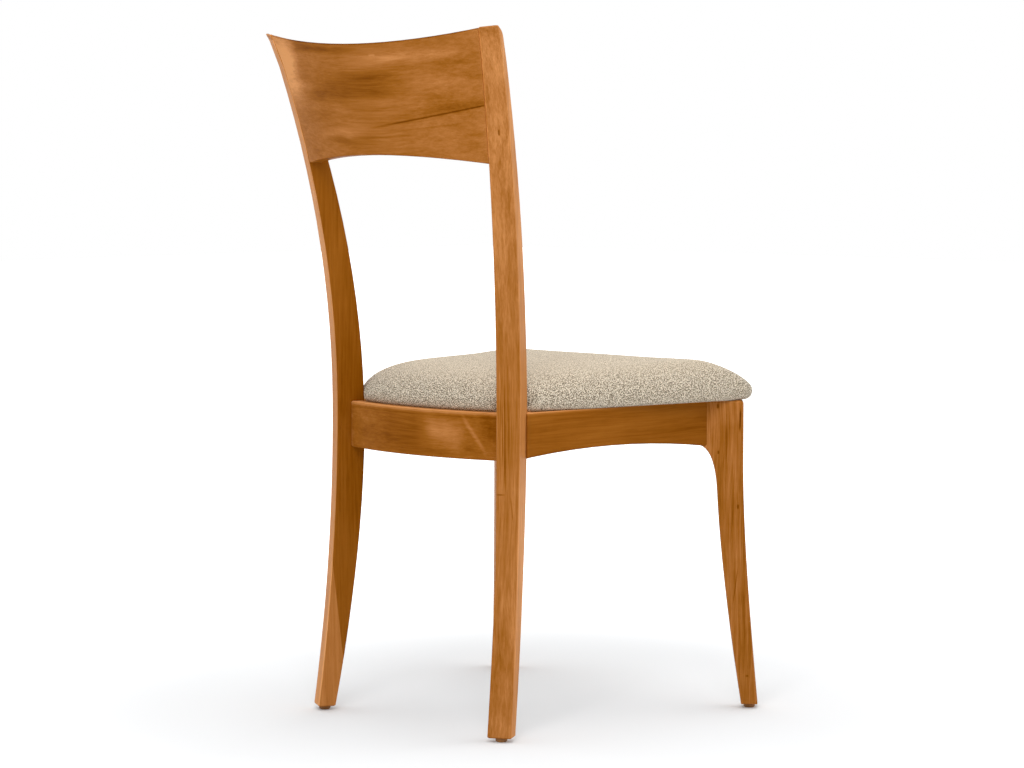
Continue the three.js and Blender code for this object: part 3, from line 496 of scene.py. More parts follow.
# Marks: where one starts and ends along its board, its line (level, slope, bend), half its width, and
# how much it darkens, or lightens where that is negative
CREST_MARKS = [
    (-0.250, 0.018, (0.0219, 0.1646, -0.2), 0.0021, 0.36),
    (-0.250, -0.085, (0.0085, 0.11, 0.0), 0.0095, 0.18),
    (-0.110, 0.060, (0.0500, 0.04, 0.0), 0.0030, 0.07),
    (-0.180, 0.000, (0.0390, 0.10, 0.0), 0.0022, 0.10),
    (-0.050, 0.035, (-0.0262, 0.01, 0.0), 0.0022, 0.07),
    (-0.085, 0.160, (-0.0170, 0.04, 0.0), 0.036, 0.22),
    (-0.034, -0.018, (-0.0571, 0.0, 0.0), 0.003, -0.20),
    # Painted light: the far end of the crest rail made lighter
    (0.130, 0.270, (-0.045, 0.2, 0.0), 0.075, -0.62),
    (-0.020, 0.170, (-0.0670, -0.05, 0.0), 0.008, 0.20),
    (-0.190, 0.050, (-0.0510, 0.05, 0.0), 0.011, -0.18),
    (-0.190, -0.060, (-0.0180, 0.04, 0.0), 0.020, -0.11),
    (0.060, 0.190, (-0.0180, 0.0, 0.0), 0.009, -0.14),
    (-0.030, 0.150, (0.0540, 0.0, 0.0), 0.013, 0.10),
    (0.060, 0.170, (0.0200, 0.0, 0.0), 0.016, 0.08),
    (-0.215, -0.100, (-0.0500, 0.12, 0.0), 0.010, 0.08),
    # Painted shade: a dark line along the crest rail's top arris
    (-0.600, 0.600, (-0.0733, 0.0, -0.415), 0.0034, 0.50),
    (-0.090, -0.030, (-0.0538, 0.05, 0.0), 0.006, -0.12),
    (0.020, 0.130, (0.0480, 0.0, 0.0), 0.012, -0.14),
    (0.020, 0.140, (-0.0630, -0.12, 0.0), 0.010, 0.08),
]
RIGHT_POST_MARKS = [
    (0.8000, 0.8100, (-0.0005, 0.0, 0.0), 0.0016, 0.60),
    (0.325, 0.490, (0.0040, 0.01, 0.0), 0.0016, 0.30),
    (0.345, 0.475, (0.0104, -0.01, 0.0), 0.0013, 0.26),
    (0.350, 0.460, (-0.0016, 0.0, 0.0), 0.0014, 0.22),
    (0.366, 0.452, (0.0072, 0.02, 0.0), 0.0011, 0.24),
    (0.290, 0.3265, (-0.0060, 0.10, 0.0), 0.0012, 0.26),
    (0.3262, 0.3282, (0.0100, 0.0, 0.0), 0.0085, 0.42),
    (0.040, 0.300, (-0.0100, 0.0, 0.0), 0.0045, -0.10),
    (0.560, 1.050, (0.0, 0.0, 0.0), 0.040, -0.16),
    (0.100, 0.260, (0.0030, 0.0, 0.0), 0.0020, 0.10),
    # Painted light along the leg's outer face, up to the seat
    (-0.300, 0.450, (-0.0162, 0.0, 0.0), 0.0034, -0.24),
]
SIDE_RAIL_MARKS = [
    # Painted highlight along the side rail's top arris
    (-0.600, 0.600, (0.0325, 0.0, 0.0), 0.0030, -0.22),
]
LEFT_POST_MARKS = [
    (0.200, 0.620, (0.0, 0.0, 0.0), 0.060, 0.11),
    (0.330, 0.540, (0.012, 0.0, 0.0), 0.026, 0.08),
    (0.700, 0.800, (-0.004, 0.0, 0.0), 0.012, -0.05),
]
RIGHT_KNEE_MARKS = [
    (0.4215, 0.4305, (0.0160, 0.0, 0.0), 0.0026, 0.40),
    (0.3580, 0.3645, (0.0149, 0.0, 0.0), 0.0022, 0.36),
    (0.388, 0.426, (-0.0152, -0.03, 0.0), 0.0020, 0.50),
    (0.330, 0.405, (0.004, 0.02, 0.0), 0.0020, 0.10),
    (0.240, 0.350, (-0.006, 0.02, 0.0), 0.0030, 0.08),
    (0.395, 0.445, (0.000, 0.0, 0.0), 0.030, -0.12),
    (0.145, 0.205, (-0.0100, -0.128, 0.0), 0.0011, 0.30),
    (0.2810, 0.2890, (-0.0128, 0.0, 0.0), 0.0022, 0.34),
    (0.190, 0.345, (-0.0215, 0.0, 0.0), 0.0022, 0.16),
    (0.0445, 0.0485, (-0.0267, 0.0, 0.0), 0.0030, 0.30),
]
REAR_RAIL_MARKS = [
    (-0.100, -0.019, (-0.002, -0.2, 0.0), 0.030, -0.28),
    (-0.130, -0.084, (-0.0040, -1.33, 0.1), 0.0085, -0.22),
    (-0.190, -0.110, (0.0, -0.8, 0.0), 0.038, 0.24),
    (-0.030, 0.070, (0.0, 0.0, 0.0), 0.05, 0.08),
    (0.060, 0.220, (0.0, 0.0, 0.0), 0.05, -0.06),
    # Painted highlight along the rear rail's top arris
    (-0.600, 0.600, (-0.0318, 0.0, 0.0), 0.0030, -0.34),
    (-0.600, 0.600, (-0.0268, 0.0, 0.0), 0.0018, 0.10),
]

# Where the boards' own places start, and the run and the face of the right side rail
POST_FOOT = (*POST_PLACE, 0)
KNEE_FOOT = (-0.219, -0.2284, 0)
CREST_MIDDLE = (0, 0.24, 0.85)
REAR_MIDDLE = (0, 0.17, 0.4)
FRONT_MIDDLE = (0, -0.25, 0.4)
SIDE_MIDDLE = (-0.2, -0.05, 0.4)
SIDE_RUN = (-0.108, -1, 0)
SIDE_FACE = (-1, 0.108, 0)

# Origin, grain, broad face, seed, tone, cloud, marks and figure
boards = {
    "rear_leg_right": Board(POST_FOOT, UP, POST_RUN, 1.3, 0.55, 0.26, RIGHT_POST_MARKS, 1.3),
    "rear_leg_left": Board(
        opposite(POST_FOOT), UP, opposite(POST_RUN), 4.1, 0.30, 0.22, LEFT_POST_MARKS, 0.65),
    "front_leg_right": Board(KNEE_FOOT, UP, KNEE_FACE, 7.7, 0.46, 0.28, RIGHT_KNEE_MARKS, 1.5),
    "front_leg_left": Board(opposite(KNEE_FOOT), UP, opposite(KNEE_FACE), 9.2, 0.55, 0.34),
    "crest_rail": Board(CREST_MIDDLE, CROSSWAYS, BACKWARDS, 2.6, 0.50, 0.24, CREST_MARKS, 0.85),
    "rear_rail": Board(REAR_MIDDLE, CROSSWAYS, BACKWARDS, 5.5, 0.32, 0.24, REAR_RAIL_MARKS, 0.8),
    "front_rail": Board(FRONT_MIDDLE, CROSSWAYS, BACKWARDS, 6.1, 0.50),
    "side_rail_right": Board(
        SIDE_MIDDLE, SIDE_RUN, SIDE_FACE, 8.4, 0.20, 0.24, SIDE_RAIL_MARKS, 0.6),
    "side_rail_left": Board(
        opposite(SIDE_MIDDLE), opposite(SIDE_RUN), opposite(SIDE_FACE), 3.3, 0.46, 0.34),
}

# Painted light and highlights on faces and arrises: the azimuth that they look in, from which cosine on,
# and the shift
PAINTED_FACE_LIGHT = {
    "rear_leg_right": [(210, 0.80, 0.18), (165, 0.88, 0.60)],
    "rear_leg_left": [(60, 0.80, 0.54), (105, 0.88, 0.52)],
    "front_leg_right": [(85, 0.86, 0.12), (175, 0.86, 0.10)],
}
# Painted light on the facet low on the left rear leg
PAINTED_FACET_LIGHT = {"rear_leg_left": 0.31}

for node_name, cut_board in boards.items():
    if node_name in ("crest_rail", "rear_rail"):
        cut_board.joint_normals = (POST_FACE, opposite(POST_FACE))
        cut_board.marked_side = BACKWARDS
    # Rail tops get painted light, and the crest rail's top painted shade
    if "rail" in node_name:
        cut_board.painted_top_shading = CREST_TOP_PAINTED_SHADE if node_name == "crest_rail" else RAIL_TOP_PAINTED_LIGHT
    cut_board.is_post = "rear_leg" in node_name
    cut_board.is_side_rail = "side_rail" in node_name
    # Faces that look a given way, and a rear leg's facet, get painted light
    cut_board.face_painted_light = PAINTED_FACE_LIGHT.get(node_name, ())
    cut_board.facet_painted_light = PAINTED_FACET_LIGHT.get(node_name, 0.0)
    give(node_name, cherry("cherry_" + node_name, cut_board))


# Hidden woods, metal and plastic

# Their patterns are given as for cherry, their tones from dark to light, their relief as strength and
# height. The fibres of a plain wood run along one axis: this is their scale along it and across it
PLAIN_ALONG, PLAIN_ACROSS = 30, 700
PLAIN_FIBRE_DETAIL = (3.0, 0.6)
PLAIN_CLOUD = ((20, 20, 20), 2.0)
PLAIN_CLOUD_SHARE = 0.6
PLAIN_RANGE = (0.5, 1.1)
PLAIN_ROUGHNESS = (0.55, 0.7)
PLAIN_RELIEF = (0.2, 0.0003)
BEECH_TONES = (rgb(186, 148, 104), rgb(214, 180, 138))
PLYWOOD_TONES = (rgb(176, 136, 92), rgb(206, 172, 126))

STEEL_TURNING = ((900, 900, 300), 2.0)
STEEL_TONES = (rgb(150, 150, 148), rgb(200, 200, 196))
STEEL_ROUGHNESS = (0.28, 0.42)

# The glides are worn pale where they touch the floor, up to this height
GLIDE_GRAIN = ((1400, 1400, 1400), 2.0)
GLIDE_TONES = (rgb(132, 84, 26), rgb(160, 106, 40))
GLIDE_WORN = rgb(168, 122, 70)
GLIDE_WORN_HEIGHT = 0.0016
GLIDE_WORN_SHARE = 0.5
GLIDE_ROUGHNESS = (0.42, 0.6)
GLIDE_RELIEF = (0.15, 0.0002)

CAMBRIC_FIBRES = ((1600, 500, 500), 3.0, 0.7)
CAMBRIC_DOTS_SCALE = 420.0
CAMBRIC_TONES = (rgb(22, 22, 24), rgb(52, 52, 55))
CAMBRIC_ROUGHNESS = 0.92
CAMBRIC_RELIEF = (0.4, 0.0004)


def plain_wood(name, tones, grain):
    def build(tree):
        place = tree.place()
        stretch = tuple(PLAIN_ALONG if part else PLAIN_ACROSS for part in grain)
        fibre = tree.noise(place, stretch, *PLAIN_FIBRE_DETAIL)
        cloud = tree.times(tree.noise(place, *PLAIN_CLOUD), PLAIN_CLOUD_SHARE)
        share = tree.span(tree.add(fibre, cloud), *PLAIN_RANGE)
        return {
            "Base Color": tree.mix(share, *tones),
            "Roughness": tree.roughness(fibre, *PLAIN_ROUGHNESS),
            "Normal": tree.bump(fibre, *PLAIN_RELIEF),
        }
    return material(name, build)


def steel(tree):
    turned = tree.noise(tree.place(), *STEEL_TURNING)
    return {
        "Base Color": tree.mix(turned, *STEEL_TONES), "Metallic": 1.0,
        "Roughness": tree.roughness(turned, *STEEL_ROUGHNESS),
    }


def glide_plastic(tree):
    place = tree.place()
    grain = tree.noise(place, *GLIDE_GRAIN)
    worn = tree.falling(tree.parts(place)[2], 0.0, GLIDE_WORN_HEIGHT)
    colour = tree.mix(grain, *GLIDE_TONES)
    return {
        "Base Color": tree.mix(tree.times(worn, GLIDE_WORN_SHARE), colour, GLIDE_WORN),
        "Roughness": tree.roughness(grain, *GLIDE_ROUGHNESS),
        "Normal": tree.bump(grain, *GLIDE_RELIEF),
    }


def cambric(tree):
    place = tree.place()
    fibres = tree.noise(place, *CAMBRIC_FIBRES)
    inputs = {"Vector": place, "Scale": CAMBRIC_DOTS_SCALE}
    dots = tree.node("ShaderNodeTexVoronoi", inputs).outputs["Distance"]
    return {
        "Base Color": tree.mix(fibres, *CAMBRIC_TONES), "Roughness": CAMBRIC_ROUGHNESS,
        "Normal": tree.bump(tree.add(fibres, dots), *CAMBRIC_RELIEF),
    }


BEECH_X = plain_wood("beech_x", BEECH_TONES, CROSSWAYS)
BEECH_Y = plain_wood("beech_y", BEECH_TONES, BACKWARDS)
STEEL = material("screw_steel", steel)
GLIDE = material("glide_plastic", glide_plastic)

for node_name in nodes:
    if "dowel" in node_name:
        give(node_name, BEECH_Y if node_name.startswith("side") else BEECH_X)
    elif "corner_block" in node_name:
        give(node_name, BEECH_X)
    elif "screw" in node_name:
        give(node_name, STEEL)
    elif "glide" in node_name:
        give(node_name, GLIDE)
give("seat_board", plain_wood("plywood_sheet", PLYWOOD_TONES, CROSSWAYS))
give("dust_cover", material("cambric_sheet", cambric))


# Smooth faces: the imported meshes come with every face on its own, so a modifier joins them for shading

# Points nearer to each other than this become one, and an edge that turns less than this is smooth
SAME_POINT = 0.00002
SMOOTH_DEGREES = 34


def smoothing():
    group = bpy.data.node_groups.new("smooth_faces", "GeometryNodeTree")
    for way in ("INPUT", "OUTPUT"):
        group.interface.new_socket("Geometry", in_out=way, socket_type="NodeSocketGeometry")
    tree = Tree(group)
    start = tree.node("NodeGroupInput").outputs[0]
    inputs = {"Geometry": start, "Name": "custom_normal"}
    bare = tree.node("GeometryNodeRemoveAttribute", inputs).outputs[0]
    inputs = {"Geometry": bare, "Distance": SAME_POINT}
    merged = tree.node("GeometryNodeMergeByDistance", inputs).outputs[0]
    smooth = tree.node("GeometryNodeSetShadeSmooth", {"Geometry": merged}, domain="FACE").outputs[0]
    angle = tree.node("GeometryNodeInputMeshEdgeAngle").outputs[0]
    soft = tree.math("LESS_THAN", angle, math.radians(SMOOTH_DEGREES))
    inputs = {"Geometry": smooth, "Shade Smooth": soft}
    edges = tree.node("GeometryNodeSetShadeSmooth", inputs, domain="EDGE").outputs[0]
    tree.node("NodeGroupOutput", {0: edges})
    return group


SMOOTHING = smoothing()
for cad_piece in nodes.values():
    cad_piece.modifiers.new("smooth_faces", "NODES").node_group = SMOOTHING
    cad_piece.modifiers.new("weighted_normals", "WEIGHTED_NORMAL").keep_sharp = True


# The seat

# Its plan, which follows the posts and the bow of the rear rail. The corner points are those of the
# sitter's right side
POST_GAP = 0.001
REAR_ARC_RADIUS = 0.45139
REAR_ARC_CENTRE_Y = -0.27287
REAR_INSET = 0.008
BACK_CORNER_X = -0.1325
SIDE_OVERHANG = 0.005
SMALL_RADIUS = 0.009
CORNER_RADIUS = 0.032
FRONT_CORNER = (-0.248, -0.2664)
FRONT_BOW = 0.012
SEAT_CENTRE = (0.0, -0.0534)

# Its section, from the inner edge of the hem to the crown: share of the plan, and height. In metres, a
# whole share is taken as the arm
SEAT_SECTION = [
    (0.87, 0.43365), (0.93, 0.43365), (0.974, 0.4336), (0.986, 0.4348), (0.994, 0.4387),
    (1.0, 0.4480), (0.99, 0.4540), (0.962, 0.4615), (0.92, 0.4692), (0.84, 0.4771),
    (0.7, 0.4840), (0.5, 0.4893), (0.25, 0.4916), (0.0, 0.4922),
]
SEAT_ARM = 0.25

# The section is drawn in so many steps between two of its points, as if it went on level past the crown
# by this much, and its last ring stays this far from the crown
SECTION_STEPS = 24
PAST_CROWN = 0.05
LAST_RING_GAP = 0.02

# The top stands fuller towards the front corners: where, as a share of the plan, how wide, how high, and
# how far round, in radians
SHOULDER_SHARE = 0.77
SHOULDER_WIDTH = 0.10
SHOULDER_HEIGHT = 0.0036
SHOULDER_TURN = 0.42

# The skin: points in its outer rings, the fewest in a ring, and the distance between rings. A ring has
# half the points of the last one where they would lie closer than this share of those at the edge
SEAT_POINTS = 320
FEWEST_POINTS = SEAT_POINTS // 4
SEAT_SPACING = 0.006
HALVING_SHARE = 0.52

# Near the crown the notches for the posts are blurred away: fully up to this share of the plan and not at
# all beyond this span after it, with this blur, and only so far round from the back, in radians
SOFT_SHARE = 0.30
SOFT_SPAN = 0.30
NOTCH_BLUR = 5
NOTCH_TURN = 0.9

# The blur of the direction in which the flat cloth lies outside the plan
OUTWARD_BLUR = 4

# The cloth: points under this height stay at the rails, no point moves farther than the cap, it swells for
# so many frames, and the cover is this thick
PINNED_BELOW = 0.4352
SWELL_CAP = 0.003
SWELL_FRAMES = 20
CLOTH_THICKNESS = 0.0013

# Stands for a movement of nothing, by which nothing can be divided
NO_MOVE = 1e-9

# The pleat beside a rear leg, painted shade on one side of a crease in the relief: where it starts at the
# hem (y and z), the soft edge and the width of its painted shade, the width of its crease, between which
# heights over its start it ends, and between which distances from the middle of the chair it begins
FOLD_START = (0.1222, 0.4361)
FOLD_EDGE = 0.001
FOLD_WIDTH = 0.022
CREASE_WIDTH = 0.003
FOLD_ENDS = (0.014, 0.028)
FOLD_BEGINS = (0.150, 0.160)
FOLD_PAINTED_SHADE = 0.12
CREASE_RELIEF = 1.2

# The tweed's nubs: their pitch, how far and how finely they wander off it, how unevenly they lie, and up
# to where from its middle a nub is full and where it has ended, as shares of the pitch
NUB_PITCH = 0.0019
NUB_WANDER = (0.0016, 0.0016, 0.0)
NUB_WANDER_SCALE = 700.0
NUB_RANDOMNESS = 0.7
NUB_RANGE = (0.10, 0.62)

# Its other patterns, given as for cherry, and the pitch of its threads
WORMS = ((900, 900, 1), 2.0, 0.62)
HEATHER = ((150, 150, 1), 3.0, 0.6)
FUZZ = ((2600, 2600, 1), 2.0, 0.7)
THREAD_PITCH = 0.0017

# How much each counts in the tone, and in the relief
NUB_TONE = 0.34
WORM_TONE = 0.78
NUB_OWN_TONE = 0.16
HEATHER_TONE = 0.18
TONE_RELIEF = 0.9
FUZZ_RELIEF = 0.25
THREAD_RELIEF = 0.2

# Its contrast about the middle tone falls from the seat's side to its top: between which heights, and from
# what to what
TWEED_MIDDLE = 0.665
CONTRAST_HEIGHTS = (0.452, 0.489)
CONTRASTS = (1.9, 0.85)

TWEED_TONES = [
    (0.40, (0.155, 0.125, 0.085, 1)),
    (0.53, (0.37, 0.30, 0.215, 1)),
    (0.66, (0.60, 0.505, 0.375, 1)),
    (0.80, (0.75, 0.655, 0.51, 1)),
    (0.95, (0.84, 0.77, 0.64, 1)),
]
TWEED_ROUGHNESS = 0.95
TWEED_SPECULAR = 0.1
TWEED_SHEEN = 0.12
TWEED_SHEEN_ROUGHNESS = 0.5
TWEED_RELIEF = (0.55, 0.0010)


def quadratic(start, bend, end, steps):
    """Points on a curve from start to end that is drawn towards bend."""
    t = np.linspace(0, 1, steps)[:, None]
    start, bend, end = (np.array(point, float) for point in (start, bend, end))
    return (1 - t) ** 2 * start + 2 * t * (1 - t) * bend + t ** 2 * end


def lengths_to(points):
    """How long a line is from its start to each of its points."""
    return np.concatenate([[0], np.cumsum(np.linalg.norm(np.diff(points, axis=0), axis=1))])


def points_at(lengths, line, line_lengths):
    return np.stack([np.interp(lengths, line_lengths, line[:, i]) for i in (0, 1)], axis=1)


def rear_arc_y(x):
    return REAR_ARC_CENTRE_Y + math.sqrt((REAR_ARC_RADIUS - REAR_INSET) ** 2 - x ** 2)


def post_point(along, across):
    run, face = np.array(POST_RUN[:2]), np.array(POST_FACE[:2])
    return np.array(POST_PLACE) + run * along + face * across


def towards(start, end):
    return (end - start) / np.linalg.norm(end - start)


def seat_plan(count):
    """The seat's plan as evenly spaced points, from the back's middle round the sitter's right side."""
    before_post_x = BACK_CORNER_X + SMALL_RADIUS
    before_post = np.array((before_post_x, rear_arc_y(before_post_x)))
    back_corner = (BACK_CORNER_X, rear_arc_y(BACK_CORNER_X))
    notch = post_point(-POST_HALF_DEPTH - POST_GAP, POST_HALF_STOCK + POST_GAP)
    side_corner = post_point(-POST_HALF_DEPTH - POST_GAP, -POST_HALF_STOCK - SIDE_OVERHANG)
    front_corner = np.array(FRONT_CORNER)
    front_middle = (0, FRONT_CORNER[1] - FRONT_BOW)
    back_middle = (0, rear_arc_y(0))
    side_start = side_corner + towards(side_corner, notch) * SMALL_RADIUS
    to_side = towards(front_corner, side_corner)
    side_end = side_corner - to_side * SMALL_RADIUS
    front_start = front_corner + to_side * CORNER_RADIUS
    front_end = front_corner + np.array((CORNER_RADIUS, 0))
    parts = [
        quadratic(back_middle, (BACK_CORNER_X / 2, back_middle[1]), before_post, steps=60),
        quadratic(before_post, back_corner, notch, steps=24),
        quadratic(side_start, side_corner, side_end, steps=16),
        quadratic(front_start, front_corner, front_end, steps=40),
        quadratic(front_end, (FRONT_CORNER[0] / 2, front_middle[1]), front_middle, steps=60),
    ]
    half = np.concatenate([part if i == 0 else part[1:] for i, part in enumerate(parts)])
    whole = np.concatenate([half, (half * (-1, 1))[::-1][1:]])
    lengths = lengths_to(whole)
    return points_at(np.linspace(0, lengths[-1], count, endpoint=False), whole, lengths)


def blurred(values, reach):
    """A closed loop of values, each replaced by a soft mean of its neighbours."""
    offsets = np.arange(-3 * reach, 3 * reach + 1)
    weights = np.exp(-0.5 * (offsets / reach) ** 2)
    total = sum(w * np.roll(values, o, axis=0) for w, o in zip(weights, offsets))
    return total / weights.sum()


def section_points(spacing):
    """The seat's section as evenly spaced points on a smooth line, from the hem to near the crown."""
    points = np.array([(share * SEAT_ARM, z) for share, z in SEAT_SECTION])
    padded = np.vstack([2 * points[0] - points[1], points, points[-1] + (-PAST_CROWN, 0.0)])
    fine = []
    for a, b, c, d in zip(padded, padded[1:], padded[2:], padded[3:]):
        for t in np.linspace(0, 1, SECTION_STEPS, endpoint=False):
            second = (2 * a - 5 * b + 4 * c - d) * t ** 2
            third = (3 * b - a - 3 * c + d) * t ** 3
            fine.append(0.5 * (2 * b + (c - a) * t + second + third))
    fine = np.array(fine)
    lengths = lengths_to(fine)
    last = lengths[-1] - LAST_RING_GAP
    even = np.linspace(0, last, round(last / spacing) + 1)
    return points_at(even, fine, lengths) / (SEAT_ARM, 1)


def cloth_surplus(section, widest):
    """How much farther out each ring lies in the flat cloth than in plan."""
    surplus = np.zeros(len(section))
    for i in range(len(section) - 2, -1, -1):
        sideways, rise = np.abs(section[i + 1] - section[i]) * (SEAT_ARM, 1)
        length = math.hypot(sideways, rise)
        surplus[i] = surplus[i + 1] + (length - sideways if i >= widest else length + sideways)
    return surplus


def eased(value):
    """0 below 0 and 1 above 1, with a soft rise between them."""
    value = min(1.0, max(0.0, value))
    return value * value * (3 - 2 * value)


def faces_between(rings):
    """Quads between rings, and three triangles for each point of a ring that has half the points."""
    faces = []
    for (a, outer), (b, inner) in zip(rings, rings[1:]):
        for i in range(inner):
            j = (i + 1) % inner
            if inner == outer:
                faces.append((a + i, a + j, b + j, b + i))
            else:
                first, middle, last = 2 * i, 2 * i + 1, (2 * i + 2) % outer
                faces.append((a + first, a + middle, b + i))
                faces.append((a + middle, b + j, b + i))
                faces.append((a + middle, a + last, b + j))
    return faces


def seat_mesh():
    """The seat cover as an open skin of even quads, with each point's place in the flat cloth."""
    outline = seat_plan(SEAT_POINTS)
    centre = np.array(SEAT_CENTRE)
    arms = outline - centre
    turn = np.abs(np.arctan2(arms[:, 0], -arms[:, 1]))
    corner_turn = math.atan2(-FRONT_CORNER[0], SEAT_CENTRE[1] - FRONT_CORNER[1])
    near_corner = np.exp(-((turn - corner_turn) / SHOULDER_TURN) ** 2)
    near_notch = np.exp(-((np.pi - turn) / NOTCH_TURN) ** 4)[:, None]
    soft_arms = arms + (blurred(arms, NOTCH_BLUR) - arms) * near_notch
    tangent = np.roll(outline, -1, axis=0) - np.roll(outline, 1, axis=0)
    outward = np.stack([tangent[:, 1], -tangent[:, 0]], axis=1)
    outward = blurred(outward / np.linalg.norm(outward, axis=1)[:, None], OUTWARD_BLUR)
    section = section_points(SEAT_SPACING)
    widest = int(np.argmax(section[:, 0]))
    surplus = cloth_surplus(section, widest)
    vertices, cloth, rings = [], [], []
    count = SEAT_POINTS
    for i, (share, z) in enumerate(section):
        on_top = i > widest
        if on_top and share * SEAT_POINTS / count < HALVING_SHARE and count > FEWEST_POINTS:
            count //= 2
        step = SEAT_POINTS // count
        rings.append((len(vertices), count))
        sharp = eased((share - SOFT_SHARE) / SOFT_SPAN) if on_top else 1.0
        ring_arms = soft_arms * (1 - sharp) + arms * sharp
        places = centre + ring_arms[::step] * share
        heights = np.full(count, z)
        if on_top:
            rise = math.exp(-((share - SHOULDER_SHARE) / SHOULDER_WIDTH) ** 2)
            heights += near_corner[::step] * SHOULDER_HEIGHT * rise
        vertices += [(x, y, height) for (x, y), height in zip(places, heights)]
        cloth += [tuple(place) for place in places + outward[::step] * surplus[i]]
    faces = faces_between(rings)
    start, count = rings[-1]
    vertices.append((*SEAT_CENTRE, SEAT_SECTION[-1][1]))
    cloth.append(SEAT_CENTRE)
    faces += [(start + i, start + (i + 1) % count, len(vertices) - 1) for i in range(count)]
    return vertices, cloth, faces


def swell(piece, pinned, cap):
    """Inflates a skin as cloth, then keeps each point within a cap of where it was."""
    rest = np.array([v.co for v in piece.data.vertices])
    group = piece.vertex_groups.new(name="pinned")
    group.add([int(i) for i in np.flatnonzero(pinned)], 1.0, "REPLACE")
    cloth = piece.modifiers.new("cloth", "CLOTH")
    settings = cloth.settings
    settings.quality = 6
    settings.mass = 0.35
    settings.tension_stiffness = 22
    settings.compression_stiffness = 12
    settings.shear_stiffness = 8
    settings.bending_stiffness = 1.2
    settings.use_pressure = True
    settings.uniform_pressure_force = 4
    settings.vertex_group_mass = "pinned"
    settings.effector_weights.gravity = 0
    cloth.collision_settings.use_collision = False
    for step in range(1, SWELL_FRAMES + 1):
        bpy.context.scene.frame_set(step)
    evaluated = piece.evaluated_get(bpy.context.evaluated_depsgraph_get())
    moved = np.array([v.co for v in evaluated.data.vertices])
    piece.modifiers.remove(cloth)
    bpy.context.scene.frame_set(1)
    shift = moved - rest
    length = np.linalg.norm(shift, axis=1)[:, None]
    shift *= cap * np.tanh(length / cap) / np.maximum(length, NO_MOVE)
    piece.data.vertices.foreach_set("co", (rest + shift).ravel())


def fold(tree):
    """The pleat beside each rear leg, which runs up and forwards: the painted shade on its one side, and
    its crease.
    """
    x, y, z = tree.parts(tree.place())
    start_y, start_z = FOLD_START
    off = tree.add(tree.minus(y, start_y), tree.minus(z, start_z))
    edge = tree.smooth(off, -FOLD_EDGE, FOLD_EDGE)
    shaded = tree.times(edge, tree.falling(off, FOLD_EDGE, FOLD_WIDTH))
    crease = tree.falling(tree.unsigned(off), 0.0, CREASE_WIDTH)
    low = tree.falling(z, *(start_z + height for height in FOLD_ENDS))
    beside = tree.times(low, tree.smooth(tree.unsigned(x), *FOLD_BEGINS))
    return tree.times(shaded, beside), tree.times(crease, beside)


def tweed(tree):
    """A nubby wool tweed: pale nubs of heathered yarn on a plain weave, with dark gaps between them."""
    place = tree.parts(tree.node("ShaderNodeAttribute", attribute_name="cloth").outputs["Vector"])
    flat = tree.vector(place[0], place[1])
    inputs = {"Vector": flat, "Scale": NUB_WANDER_SCALE, "Detail": 1.0}
    jitter = tree.node("ShaderNodeTexNoise", inputs).outputs[1]
    wander = tree.scaled(tree.shifted(jitter, (-0.5, -0.5, -0.5)), NUB_WANDER)
    inputs = {
        "Vector": tree.shifted(flat, wander), "Scale": 1 / NUB_PITCH, "Randomness": NUB_RANDOMNESS,
    }
    nubs = tree.node("ShaderNodeTexVoronoi", inputs, voronoi_dimensions="2D").outputs
    dome = tree.falling(nubs["Distance"], *NUB_RANGE)
    own = tree.parts(nubs["Color"])[0]
    worms, heather, fuzz = (tree.noise(flat, *pattern) for pattern in (WORMS, HEATHER, FUZZ))
    diagonal = tree.times(tree.add(place[0], place[1]), math.pi / THREAD_PITCH)
    threads = tree.unsigned(tree.math("SINE", diagonal))

    tone = tree.add(tree.times(dome, NUB_TONE), tree.times(worms, WORM_TONE))
    uneven = tree.add(tree.times(own, NUB_OWN_TONE), tree.centred(heather, HEATHER_TONE))
    tone = tree.add(tone, uneven)
    height = tree.parts(tree.place())[2]
    contrast = tree.smooth(height, *CONTRAST_HEIGHTS, *CONTRASTS)
    shown = tree.add(tree.times(tree.minus(tone, TWEED_MIDDLE), contrast), TWEED_MIDDLE)
    # The pleat beside each rear leg is darkened as painted shade
    shaded, crease = fold(tree)
    colour = tree.ramp(tree.minus(shown, tree.times(shaded, FOLD_PAINTED_SHADE)), TWEED_TONES)

    fine = tree.add(tree.times(fuzz, FUZZ_RELIEF), tree.times(threads, THREAD_RELIEF))
    relief = tree.add(tree.times(tone, TONE_RELIEF), fine)
    relief = tree.minus(relief, tree.times(crease, CREASE_RELIEF))
    return {
        "Base Color": colour, "Roughness": TWEED_ROUGHNESS, "Specular IOR Level": TWEED_SPECULAR,
        "Sheen Weight": TWEED_SHEEN, "Sheen Roughness": TWEED_SHEEN_ROUGHNESS,
        "Normal": tree.bump(relief, *TWEED_RELIEF),
    }


def make_seat():
    vertices, cloth, faces = seat_mesh()
    mesh = bpy.data.meshes.new("seat_cushion")
    mesh.from_pydata(vertices, [], faces)
    piece = bpy.data.objects.new("seat_cushion", mesh)
    bpy.context.scene.collection.objects.link(piece)
    place = mesh.attributes.new("cloth", "FLOAT_VECTOR", "POINT")
    place.data.foreach_set("vector", np.array([(x, y, 0) for x, y in cloth], np.float32).ravel())
    mesh.polygons.foreach_set("use_smooth", [True] * len(mesh.polygons))
    swell(piece, np.array(vertices)[:, 2] < PINNED_BELOW, SWELL_CAP)
    thick = piece.modifiers.new("thick", "SOLIDIFY")
    thick.thickness = CLOTH_THICKNESS
    thick.offset = -1
    finer = piece.modifiers.new("finer", "SUBSURF")
    finer.levels = 1
    finer.render_levels = 1
    mesh.materials.append(material("tweed_cloth", tweed))
    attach(piece, "root")
    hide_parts("seat_cover", "seat_foam")


make_seat()


